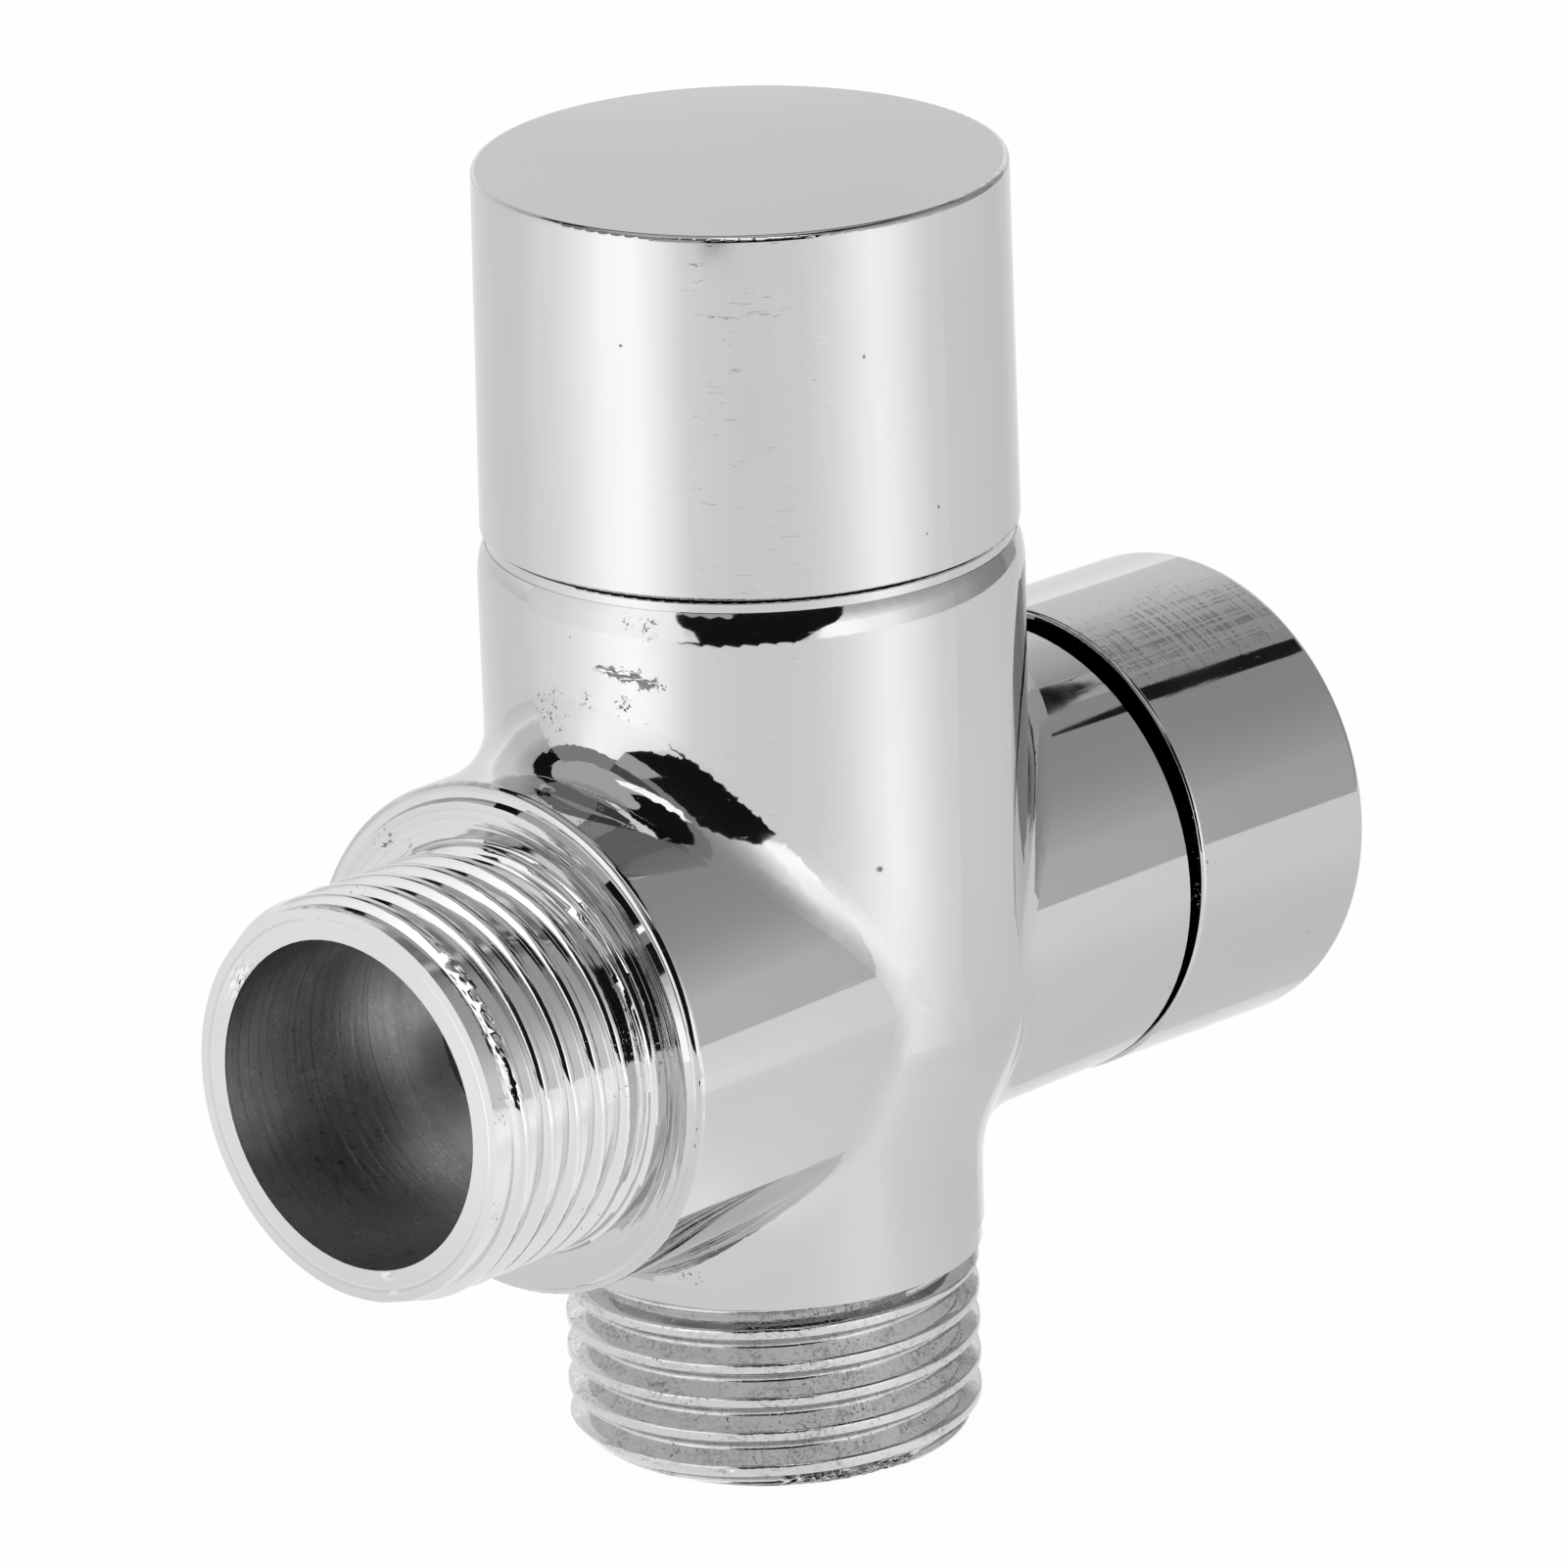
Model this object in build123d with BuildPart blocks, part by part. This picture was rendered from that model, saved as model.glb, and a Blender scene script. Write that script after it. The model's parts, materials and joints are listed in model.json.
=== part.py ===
"""Shower diverter valve: a cross-shaped plated body with two male outlets, a swivel inlet collar and a turning knob."""
from build123d import *
from math import cos, radians, sin, tan
import os

os.makedirs("parts", exist_ok=True)

# Pipe thread G1/2, with flanks 55 degrees apart
thread_major_radius = 20.955 / 2
thread_depth = 1.1275
thread_pitch = 1.814
thread_crest_land = 0.45
thread_flank_angle = 27.5
thread_relief_step = 0.25
spigot_grooves = 4
bottom_first_groove = 1.5
front_first_groove = 1.8

# Outlets, both alike: the wall at the thread's crest, the bore and the passage behind it
outlet_wall = 2.0775
outlet_bore_depth = 12.3
outlet_chamfer = 1.0
outlet_face_step = 0.8775

# Bottom spigot and neck, from Z = 0 up to where the column starts
bottom_thread_top = 9.0
bottom_relief_height = 0.8
neck_band_height = 1.1
neck_band_step = 0.2
neck_step = 0.3225
neck_height = 2.7
run_lift = 1.35
column_foot = 2.0

# Column and barrel, whose rim is rolled over by polishing
column_step = 1.6
barrel_swell = 0.16
barrel_wall = 2.9
barrel_rim_height = 1.9
barrel_rim_drop = 0.4
barrel_rim_slope = 0.55

# Front run, cast a little off the axis of its turned shoulder and spigot
front_run_inset = 0.35
front_run_shift = 0.2
front_run_rise = 0.15
front_run_round = 0.45
shoulder_reach = 5.6
shoulder_face_step = 0.7
shoulder_rim_step = 0.55
shoulder_rim_width = 0.35
front_relief_width = 0.8
front_spigot_length = 10.9

# Rear run with the tail that carries the swivel collar
rear_reach = 5.7
rear_edge_chamfer = 0.15
tail_play = 1.35
tail_wall = 2.5
tail_tip = 0.6
tail_chamfer = 0.3
retainer_groove_depth = 0.8
retainer_groove_width = 0.9
retainer_standoff = 0.35
screen_seat_depth = 0.6
screen_rim = 1.4

# Blends of the casting where the runs enter the column
front_blend = 3.8
rear_blend = 3.0

# Walls between the passages, and the risers that lead up to the chamber
floor_wall = 2.1
passage_wall = 2.4
port_radius = 2.2
port_rim = 0.8
port_edge = 0.2
port_wall = 1.4
inlet_riser_radius = 2.0
inlet_riser_rise = 5.0

# Clearances
loose_clearance = 0.1
running_clearance = 0.05
seal_clearance = 0.02

# Cartridge stack, from the chamber floor up
seat_seal_height = 1.2
fixed_disc_height = 2.8
moving_disc_height = 2.0
driver_height = 1.4
stem_flange_height = 1.2
thrust_washer_height = 0.4
housing_roof = 2.0
bonnet_depth = 3.2

# Discs and driver
moving_disc_step = 0.6
sector_root = 1.4
lug_width = 1.8
lug_length = 1.2
lug_height = 1.0
lug_inset = 0.9
tongue_width = 2.2
tongue_height = 0.7
tongue_length = 8.0

# Cartridge housing
housing_wall = 2.3
housing_neck_wall = 2.5
housing_neck_rise = 0.5
housing_ring_height = 1.8
housing_ring_radius = 0.8
window_width = 6.6

# Stem
stem_flange_step = 0.4
stem_flange_width = 2.05
stem_flat_depth = 0.75
stem_flat_lead = 0.4
stem_top_gap = 0.4
stem_ring_radius = 0.7
stem_ring_groove = 1.6
stem_ring_depth = 2.5
stem_ring_spacing = 2.8
clip_height = 0.8
clip_rise = 0.25
clip_wall = 1.45
clip_groove_depth = 0.7
clip_gap = 2.4

# Bonnet nut and spacer ring
bonnet_step = 1.16
bonnet_rise = 2.8
bonnet_corner_clearance = 0.88
spacer_inset = 0.27
spacer_height = 0.55
spacer_round = 0.1

# Knob
knob_inset = 0.19
knob_draft = 0.15
knob_foot_gap = 0.15
knob_height = 18.55
knob_edge_round = 0.3
knob_foot_round = 0.15
knob_wall = 2.2
knob_roof = 2.4
knob_boss_wall = 1.9
knob_boss_rise = 4.3
insert_wall = 1.65
insert_foot_gap = 0.2
insert_height = 8.0
socket_top_gap = 0.9
rib_width = 6.8
screw_radius = 1.95
screw_rise = 3.8
screw_recess = 2.27
screw_socket = 2.0
screw_socket_depth = 2.2

# Swivel collar, which hangs a little cocked in its play
collar_wall = 2.9
collar_step = 0.35
collar_length = 12.6
collar_gap = 0.55
collar_lip_play = 0.8
collar_lip_length = 1.8
collar_cavity_play = 0.7
collar_washer_gap = 0.45
collar_front_edge = 0.2
collar_mouth_round = 0.5
collar_mouth_chamfer = 0.7
collar_droop = 1.6
collar_lift = 0.25

# Retaining ring, washer and screen on the tail
retainer_grip = 0.9
retainer_thickness = 0.8
retainer_gap = 3.0
washer_step = 0.55
washer_thickness = 1.5
screen_thickness = 0.5
screen_hole_radius = 0.55
screen_pitch = 1.9

# Sizes of the thread's groove: half its mouth, half its root, and half its width a little outside the crest
groove_slope = tan(radians(thread_flank_angle))
groove_overcut = 0.1
half_mouth = (thread_pitch - thread_crest_land) / 2
half_root = half_mouth - thread_depth * groove_slope
half_open = half_mouth + groove_overcut * groove_slope

# Radii that follow from the thread
thread_minor_radius = thread_major_radius - thread_depth
thread_relief_radius = thread_minor_radius + thread_relief_step
outlet_bore_radius = thread_major_radius - outlet_wall
outlet_face_radius = thread_major_radius - outlet_face_step
neck_band_radius = thread_major_radius + neck_band_step
neck_radius = thread_major_radius + neck_step
collar_radius = thread_minor_radius + collar_wall
rear_run_radius = collar_radius - collar_step
column_radius = rear_run_radius + column_step
barrel_radius = column_radius + barrel_swell
front_run_radius = column_radius - front_run_inset
shoulder_face_radius = front_run_radius - shoulder_face_step
shoulder_rim_radius = front_run_radius - shoulder_rim_step
tail_radius = thread_minor_radius - tail_play
passage_radius = tail_radius - tail_wall
screen_seat_radius = tail_radius - screen_rim
retainer_groove_radius = tail_radius - retainer_groove_depth
collar_lip_radius = tail_radius + collar_lip_play
retainer_radius = collar_lip_radius + retainer_grip
collar_cavity_radius = retainer_radius + collar_cavity_play
washer_radius = thread_minor_radius - washer_step
washer_bore = passage_radius + loose_clearance

# Radii of the cartridge, from the barrel inwards, then of the knob
bonnet_bore_radius = barrel_radius - barrel_wall
bonnet_radius = bonnet_bore_radius - loose_clearance
chamber_radius = bonnet_bore_radius - bonnet_step
housing_radius = chamber_radius - 2 * loose_clearance
housing_bore_radius = housing_radius - housing_wall
disc_radius = housing_bore_radius - loose_clearance
port_offset = disc_radius - port_rim - port_radius
moving_radius = disc_radius - moving_disc_step
lug_reach = moving_radius - lug_inset
stem_flange_radius = moving_radius - stem_flange_step
stem_radius = stem_flange_radius - stem_flange_width
stem_flat = stem_radius - stem_flat_depth
stem_bore_radius = stem_radius + running_clearance
housing_neck_radius = stem_bore_radius + housing_neck_wall
clip_radius = stem_radius + clip_wall
insert_radius = stem_radius + insert_wall
knob_boss_radius = insert_radius + knob_boss_wall
knob_bottom_radius = barrel_radius - knob_inset
knob_top_radius = knob_bottom_radius - knob_draft
cup_radius = knob_bottom_radius - knob_wall
spacer_radius = knob_bottom_radius - spacer_inset

# Distances along the run
shoulder_face = column_radius + shoulder_reach
front_reach = shoulder_face + front_spigot_length
run_rear = column_radius + rear_reach
retainer_groove_start = run_rear + collar_gap + collar_lip_length + retainer_standoff
groove_end = retainer_groove_start + retainer_groove_width
tail_end = groove_end + tail_tip
cavity_end = tail_end + washer_thickness + collar_washer_gap - run_rear - collar_gap
front_passage_end = port_offset - port_radius - port_edge
inlet_passage_end = port_offset + port_radius + port_wall
inlet_riser_offset = inlet_passage_end + inlet_riser_radius

# Heights, from the bottom spigot to the top of the knob
neck_foot = bottom_thread_top + bottom_relief_height + neck_band_height
neck_top = neck_foot + neck_height
run_height = neck_foot + run_lift + front_run_radius
column_base = run_height - column_foot
bottom_passage_top = run_height - passage_radius - passage_wall
chamber_floor = run_height + passage_radius + floor_wall
inlet_riser_top = chamber_floor + inlet_riser_rise
seal_top = chamber_floor + seat_seal_height
fixed_top = seal_top + fixed_disc_height
moving_top = fixed_top + moving_disc_height
driver_top = moving_top + driver_height
flange_top = driver_top + stem_flange_height
roof_bottom = flange_top + thrust_washer_height
chamber_shoulder = roof_bottom + housing_roof
barrel_top = chamber_shoulder + bonnet_depth
barrel_rim_start = barrel_top - barrel_rim_height
bonnet_top = barrel_top + bonnet_rise
housing_neck_top = bonnet_top + housing_neck_rise
clip_bottom = housing_neck_top + clip_rise
knob_bottom = barrel_top + spacer_height + knob_foot_gap
knob_top = knob_bottom + knob_height
cup_roof = knob_top - knob_roof
knob_boss_bottom = knob_bottom + knob_boss_rise
insert_bottom = knob_boss_bottom + insert_foot_gap
insert_top = insert_bottom + insert_height
socket_top = insert_top + socket_top_gap
stem_top = insert_top - stem_top_gap
stem_flat_bottom = insert_bottom - stem_flat_lead
screw_height = insert_bottom + screw_rise
upper_ring_height = housing_neck_top - stem_ring_depth
lower_ring_height = upper_ring_height - stem_ring_spacing

# Planes and axes that the pieces share
from_below = (Align.CENTER, Align.CENTER, Align.MIN)
run_axis = Axis((0, 0, run_height), (0, 1, 0))
run_plane = Plane(origin=(0, 0, run_height), x_dir=(0, 1, 0), z_dir=(1, 0, 0))


# valve body
with BuildPart() as valve_body:
    # bottom spigot, neck, column and barrel are turned about the vertical axis
    with BuildSketch(Plane.XZ):
        with BuildLine():
            Polyline(
                (0, 0),
                (outlet_face_radius, 0),
                (thread_major_radius, outlet_chamfer),
                (thread_major_radius, bottom_thread_top),
                (thread_relief_radius, bottom_thread_top),
                (thread_relief_radius, bottom_thread_top + bottom_relief_height),
                (neck_band_radius, bottom_thread_top + bottom_relief_height),
                (neck_band_radius, neck_foot),
                (neck_radius, neck_foot),
                (neck_radius, neck_top),
            )
            Spline(
                (neck_radius, neck_top),
                (column_radius, column_base),
                tangents=((0, 1), (0, 1)),
            )
            Line((column_radius, column_base), (column_radius, run_height))
            Line((column_radius, run_height), (barrel_radius, barrel_rim_start))
            Spline(
                (barrel_radius, barrel_rim_start),
                (barrel_radius - barrel_rim_drop, barrel_top),
                tangents=((0, 1), (-barrel_rim_slope, 1)),
            )
            Polyline((barrel_radius - barrel_rim_drop, barrel_top), (0, barrel_top), (0, 0))
        make_face()
    revolve(axis=Axis.Z)

    # front run as cast, blended into the column, with a rounded end
    rim_start = shoulder_face - shoulder_rim_width
    front_run_centre = (-front_run_shift, 0, run_height + front_run_rise)
    with BuildSketch(Plane(origin=front_run_centre, x_dir=(1, 0, 0), z_dir=(0, -1, 0))):
        Circle(front_run_radius)
    extrude(amount=rim_start)
    fillet(valve_body.edges(Select.NEW), radius=front_blend)
    cast_end = valve_body.edges().filter_by(GeomType.CIRCLE).sort_by(Axis.Y)[0]
    fillet(cast_end, radius=front_run_round)

    # turned shoulder, relief and front spigot
    with BuildSketch(run_plane):
        with BuildLine():
            Polyline(
                (0, 0),
                (-front_reach, 0),
                (-front_reach, outlet_face_radius),
                (outlet_chamfer - front_reach, thread_major_radius),
                (-shoulder_face - front_relief_width, thread_major_radius),
                (-shoulder_face - front_relief_width, thread_relief_radius),
                (-shoulder_face, thread_relief_radius),
                (-shoulder_face, shoulder_face_radius),
                (-rim_start, shoulder_rim_radius),
                (0, shoulder_rim_radius),
                close=True,
            )
        make_face()
    revolve(axis=run_axis)

    # thread grooves of the bottom spigot, then of the front one
    bottom_groove_height = bottom_thread_top - bottom_first_groove
    with BuildSketch(Plane.XZ):
        for turn in range(spigot_grooves):
            middle = bottom_groove_height - turn * thread_pitch
            with BuildLine():
                Polyline(
                    (thread_major_radius + groove_overcut, middle - half_open),
                    (thread_minor_radius, middle - half_root),
                    (thread_minor_radius, middle + half_root),
                    (thread_major_radius + groove_overcut, middle + half_open),
                    close=True,
                )
            make_face()
    revolve(axis=Axis.Z, mode=Mode.SUBTRACT)
    front_groove_place = shoulder_face + front_relief_width + front_first_groove
    with BuildSketch(run_plane):
        for turn in range(spigot_grooves):
            middle = -front_groove_place - turn * thread_pitch
            with BuildLine():
                Polyline(
                    (middle - half_open, thread_major_radius + groove_overcut),
                    (middle - half_root, thread_minor_radius),
                    (middle + half_root, thread_minor_radius),
                    (middle + half_open, thread_major_radius + groove_overcut),
                    close=True,
                )
            make_face()
    revolve(axis=run_axis, mode=Mode.SUBTRACT)

    # rear run and tail
    with BuildSketch(run_plane):
        with BuildLine():
            Polyline(
                (0, 0),
                (0, rear_run_radius),
                (run_rear - rear_edge_chamfer, rear_run_radius),
                (run_rear, rear_run_radius - rear_edge_chamfer),
                (run_rear, tail_radius),
                (retainer_groove_start, tail_radius),
                (retainer_groove_start, retainer_groove_radius),
                (groove_end, retainer_groove_radius),
                (groove_end, tail_radius),
                (tail_end - tail_chamfer, tail_radius),
                (tail_end, tail_radius - tail_chamfer),
                (tail_end, 0),
                (0, 0),
            )
        make_face()
    revolve(axis=run_axis)
    rear_creases = valve_body.edges(Select.NEW).filter_by(GeomType.BSPLINE)
    fillet(rear_creases, radius=rear_blend)

    # bores of the two outlets and of the inlet, and the passages behind them
    with Locations((0, 0, 0)):
        Cylinder(outlet_bore_radius, outlet_bore_depth, align=from_below, mode=Mode.SUBTRACT)
        Cylinder(passage_radius, bottom_passage_top, align=from_below, mode=Mode.SUBTRACT)
    with BuildSketch(run_plane):
        front_bore_end = outlet_bore_depth - front_reach
        with BuildLine():
            Polyline(
                (-front_reach, 0),
                (-front_reach, outlet_bore_radius),
                (front_bore_end, outlet_bore_radius),
                (front_bore_end, passage_radius),
                (-front_passage_end, passage_radius),
                (-front_passage_end, 0),
                close=True,
            )
        make_face()
        with BuildLine():
            Polyline(
                (inlet_passage_end, 0),
                (inlet_passage_end, passage_radius),
                (tail_end - screen_seat_depth, passage_radius),
                (tail_end - screen_seat_depth, screen_seat_radius),
                (tail_end, screen_seat_radius),
                (tail_end, 0),
                close=True,
            )
        make_face()
    revolve(axis=run_axis, mode=Mode.SUBTRACT)

    # cartridge chamber, the thread bore of the bonnet nut, and the risers that open into the chamber
    with BuildSketch(Plane.XY.offset(chamber_floor)):
        Circle(chamber_radius)
    extrude(amount=barrel_top - chamber_floor, mode=Mode.SUBTRACT)
    with BuildSketch(Plane.XY.offset(chamber_shoulder)):
        Circle(bonnet_bore_radius)
    extrude(amount=barrel_top - chamber_shoulder, mode=Mode.SUBTRACT)
    with BuildSketch(Plane.XY.offset(run_height)):
        with Locations((0, -port_offset)):
            Circle(port_radius)
    extrude(amount=chamber_floor - run_height, mode=Mode.SUBTRACT)
    with BuildSketch(Plane.XY.offset(bottom_passage_top)):
        with Locations((0, port_offset)):
            Circle(port_radius)
    extrude(amount=chamber_floor - bottom_passage_top, mode=Mode.SUBTRACT)
    with BuildSketch(Plane.XY.offset(run_height)):
        with Locations((0, inlet_riser_offset)):
            Circle(inlet_riser_radius)
    extrude(amount=inlet_riser_top - run_height, mode=Mode.SUBTRACT)
valve_body.part.label = "valve_body"


# spacer ring between the barrel and the knob
with BuildPart() as spacer_ring:
    with BuildSketch(Plane.XY.offset(barrel_top)):
        Circle(spacer_radius)
        Circle(bonnet_bore_radius, mode=Mode.SUBTRACT)
    extrude(amount=spacer_height)
    fillet(spacer_ring.edges().group_by(Axis.Z)[-1].sort_by(SortBy.RADIUS)[-1], radius=spacer_round)
spacer_ring.part.label = "spacer_ring"


# bonnet nut: a threaded skirt in the barrel with a hexagon above it
with BuildPart() as bonnet_nut:
    hex_bottom = barrel_top + spacer_height + loose_clearance
    with BuildSketch(Plane.XY.offset(chamber_shoulder)):
        Circle(bonnet_radius)
    extrude(amount=hex_bottom - chamber_shoulder)
    with BuildSketch(Plane.XY.offset(hex_bottom)):
        RegularPolygon(cup_radius - bonnet_corner_clearance, 6)
    extrude(amount=bonnet_top - hex_bottom)
    with BuildSketch(Plane.XY.offset(chamber_shoulder)):
        Circle(housing_neck_radius + loose_clearance)
    extrude(amount=bonnet_top - chamber_shoulder, mode=Mode.SUBTRACT)
bonnet_nut.part.label = "bonnet_nut"


# cartridge housing: a skirt round the discs, a roof over them and a neck round the stem
ring_groove_top = roof_bottom
ring_groove_bottom = ring_groove_top - housing_ring_height
ring_outer_radius = chamber_radius - seal_clearance
ring_inner_radius = ring_outer_radius - 2 * housing_ring_radius
with BuildPart() as cartridge_housing:
    with BuildSketch(Plane.XZ):
        with BuildLine():
            Polyline(
                (housing_bore_radius, chamber_floor),
                (housing_radius, chamber_floor),
                (housing_radius, ring_groove_bottom),
                (ring_inner_radius - seal_clearance, ring_groove_bottom),
                (ring_inner_radius - seal_clearance, ring_groove_top),
                (housing_radius, ring_groove_top),
                (housing_radius, chamber_shoulder),
                (housing_neck_radius, chamber_shoulder),
                (housing_neck_radius, housing_neck_top),
                (stem_bore_radius, housing_neck_top),
                (stem_bore_radius, roof_bottom),
                (housing_bore_radius, roof_bottom),
                close=True,
            )
        make_face()
    revolve(axis=Axis.Z)
    # windows that let the water in from the riser to the discs
    with BuildSketch(Plane.XZ.offset(-housing_radius)):
        with Locations((0, (seal_top + driver_top) / 2)):
            Rectangle(window_width, driver_top - seal_top)
    extrude(amount=2 * housing_radius, mode=Mode.SUBTRACT)
cartridge_housing.part.label = "cartridge_housing"


def o_ring(name, center_radius, section_radius, height):
    """A rubber ring about the vertical axis."""
    with BuildPart() as ring:
        with Locations((0, 0, height)):
            Torus(center_radius, section_radius)
    ring.part.label = name
    return ring


housing_o_ring = o_ring(
    "housing_o_ring",
    ring_outer_radius - housing_ring_radius,
    housing_ring_radius,
    (ring_groove_top + ring_groove_bottom) / 2,
)


# seat seal and fixed disc, with a port to each outlet
def ported_disc(name, bottom, height):
    """A disc in the housing with a port over each of the two outlet passages."""
    with BuildPart() as disc:
        with BuildSketch(Plane.XY.offset(bottom)):
            Circle(disc_radius)
            with Locations((0, port_offset), (0, -port_offset)):
                Circle(port_radius, mode=Mode.SUBTRACT)
        extrude(amount=height)
    disc.part.label = name
    return disc


seat_seal = ported_disc("seat_seal", chamber_floor, seat_seal_height)
fixed_disc = ported_disc("fixed_disc", seal_top, fixed_disc_height)


# moving disc: a sector is cut away over the open port, and two notches take the driver
with BuildPart() as moving_disc:
    with BuildSketch(Plane.XY.offset(fixed_top)):
        Circle(moving_radius)
        with BuildLine():
            Polyline(
                (sector_root, -sector_root),
                (moving_radius, -moving_radius - sector_root),
                (-moving_radius, -moving_radius - sector_root),
                (-sector_root, -sector_root),
                close=True,
            )
        make_face(mode=Mode.SUBTRACT)
    extrude(amount=moving_disc_height)
    with BuildSketch(Plane.XY.offset(moving_top)):
        with Locations((lug_reach, 0), (-lug_reach, 0)):
            Rectangle(lug_length + 2 * loose_clearance, lug_width + 2 * loose_clearance)
    extrude(amount=-lug_height - loose_clearance, mode=Mode.SUBTRACT)
moving_disc.part.label = "moving_disc"


# disc driver: lugs below, and a slot above for the tongue of the stem
with BuildPart() as disc_driver:
    with BuildSketch(Plane.XY.offset(moving_top)):
        Circle(moving_radius)
    extrude(amount=driver_height)
    with BuildSketch(Plane.XY.offset(moving_top)):
        with Locations((lug_reach, 0), (-lug_reach, 0)):
            Rectangle(lug_length, lug_width)
    extrude(amount=-lug_height)
    with BuildSketch(Plane.XY.offset(driver_top)):
        Rectangle(tongue_length + 2 * loose_clearance, tongue_width + 2 * loose_clearance)
    extrude(amount=-tongue_height - loose_clearance, mode=Mode.SUBTRACT)
disc_driver.part.label = "disc_driver"


# stem: tongue, flange, two ring grooves, a clip groove and a flat for the set screw
ring_center_radius = stem_bore_radius - seal_clearance - stem_ring_radius
stem_groove_radius = ring_center_radius - stem_ring_radius - seal_clearance
with BuildPart() as stem:
    with BuildSketch(Plane.XY.offset(driver_top)):
        Circle(stem_flange_radius)
    extrude(amount=stem_flange_height)
    with BuildSketch(Plane.XY.offset(driver_top)):
        Rectangle(tongue_length, tongue_width)
    extrude(amount=-tongue_height)
    with BuildSketch(Plane.XY.offset(flange_top)):
        Circle(stem_radius)
    extrude(amount=stem_top - flange_top)
    for groove_center, groove_width, groove_radius in (
        (lower_ring_height, stem_ring_groove, stem_groove_radius),
        (upper_ring_height, stem_ring_groove, stem_groove_radius),
        (clip_bottom + clip_height / 2, clip_height, stem_radius - clip_groove_depth),
    ):
        with BuildSketch(Plane.XY.offset(groove_center - groove_width / 2)):
            Circle(stem_radius)
            Circle(groove_radius, mode=Mode.SUBTRACT)
        extrude(amount=groove_width, mode=Mode.SUBTRACT)
    with BuildSketch(Plane.XY.offset(stem_flat_bottom)):
        with Locations((0, stem_flat + stem_radius / 2)):
            Rectangle(2 * stem_radius, stem_radius)
    extrude(amount=stem_top - stem_flat_bottom, mode=Mode.SUBTRACT)
stem.part.label = "stem"

stem_o_ring_lower = o_ring("stem_o_ring_lower", ring_center_radius, stem_ring_radius, lower_ring_height)
stem_o_ring_upper = o_ring("stem_o_ring_upper", ring_center_radius, stem_ring_radius, upper_ring_height)


# thrust washer under the roof of the housing
with BuildPart() as thrust_washer:
    with BuildSketch(Plane.XY.offset(flange_top)):
        Circle(stem_flange_radius)
        Circle(stem_radius + 3 * loose_clearance, mode=Mode.SUBTRACT)
    extrude(amount=thrust_washer_height)
thrust_washer.part.label = "thrust_washer"


def split_ring(plane, outer_radius, inner_radius, thickness, gap):
    """A flat spring ring, open on one side, standing on a plane."""
    with BuildPart() as ring:
        with BuildSketch(plane):
            Circle(outer_radius)
            Circle(inner_radius, mode=Mode.SUBTRACT)
            with Locations((0, -outer_radius)):
                Rectangle(gap, outer_radius, mode=Mode.SUBTRACT)
        extrude(amount=thickness)
    return ring


stem_clip = split_ring(
    Plane.XY.offset(clip_bottom), clip_radius, stem_radius - clip_groove_depth, clip_height, clip_gap
)
stem_clip.part.label = "stem_clip"


# knob: a cast cup with a boss for the insert and a rib for the set screw
with BuildPart() as knob:
    with BuildSketch(Plane.XZ):
        with BuildLine():
            Polyline(
                (cup_radius, knob_bottom),
                (knob_bottom_radius, knob_bottom),
                (knob_top_radius, knob_top),
                (0, knob_top),
                (0, socket_top),
                (insert_radius, socket_top),
                (insert_radius, knob_boss_bottom),
                (knob_boss_radius, knob_boss_bottom),
                (knob_boss_radius, cup_roof),
                (cup_radius, cup_roof),
                close=True,
            )
        make_face()
    revolve(axis=Axis.Z)
    fillet(knob.edges().group_by(Axis.Z)[-1], radius=knob_edge_round)
    fillet(knob.edges().group_by(Axis.Z)[0].sort_by(SortBy.RADIUS)[-1], radius=knob_foot_round)
    rib_start = (insert_radius + knob_boss_radius) / 2
    rib_end = cup_radius + knob_wall / 2
    with BuildSketch(Plane.XY.offset(knob_boss_bottom)):
        with Locations((0, (rib_start + rib_end) / 2)):
            Rectangle(rib_width, rib_end - rib_start)
    extrude(amount=cup_roof - knob_boss_bottom)
    with BuildSketch(Plane.XZ.offset(-stem_flat)):
        with Locations((0, screw_height)):
            Circle(screw_radius + running_clearance)
    extrude(amount=-knob_bottom_radius, mode=Mode.SUBTRACT)
knob.part.label = "knob"


# insert between the stem and the knob
with BuildPart() as knob_insert:
    with BuildSketch(Plane.XY.offset(insert_bottom)):
        Circle(insert_radius)
        Circle(stem_radius, mode=Mode.SUBTRACT)
        with Locations((0, (stem_flat + insert_radius) / 2)):
            Rectangle(2 * stem_radius, insert_radius - stem_flat)
        with Locations((0, 0)):
            Circle(insert_radius, mode=Mode.INTERSECT)
    extrude(amount=insert_height)
    with BuildSketch(Plane.XZ.offset(-stem_flat)):
        with Locations((0, screw_height)):
            Circle(screw_radius + running_clearance)
    extrude(amount=-insert_radius, mode=Mode.SUBTRACT)
knob_insert.part.label = "knob_insert"


# set screw with its hexagon socket, in the rear of the knob
screw_length = knob_bottom_radius - screw_recess - stem_flat
with BuildPart() as knob_set_screw:
    with BuildSketch(Plane.XZ.offset(-stem_flat)):
        with Locations((0, screw_height)):
            Circle(screw_radius)
    extrude(amount=-screw_length)
    with BuildSketch(Plane.XZ.offset(-stem_flat - screw_length)):
        with Locations((0, screw_height)):
            RegularPolygon(screw_socket / 2, 6, major_radius=False)
    extrude(amount=screw_socket_depth, mode=Mode.SUBTRACT)
knob_set_screw.part.label = "knob_set_screw"


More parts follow.
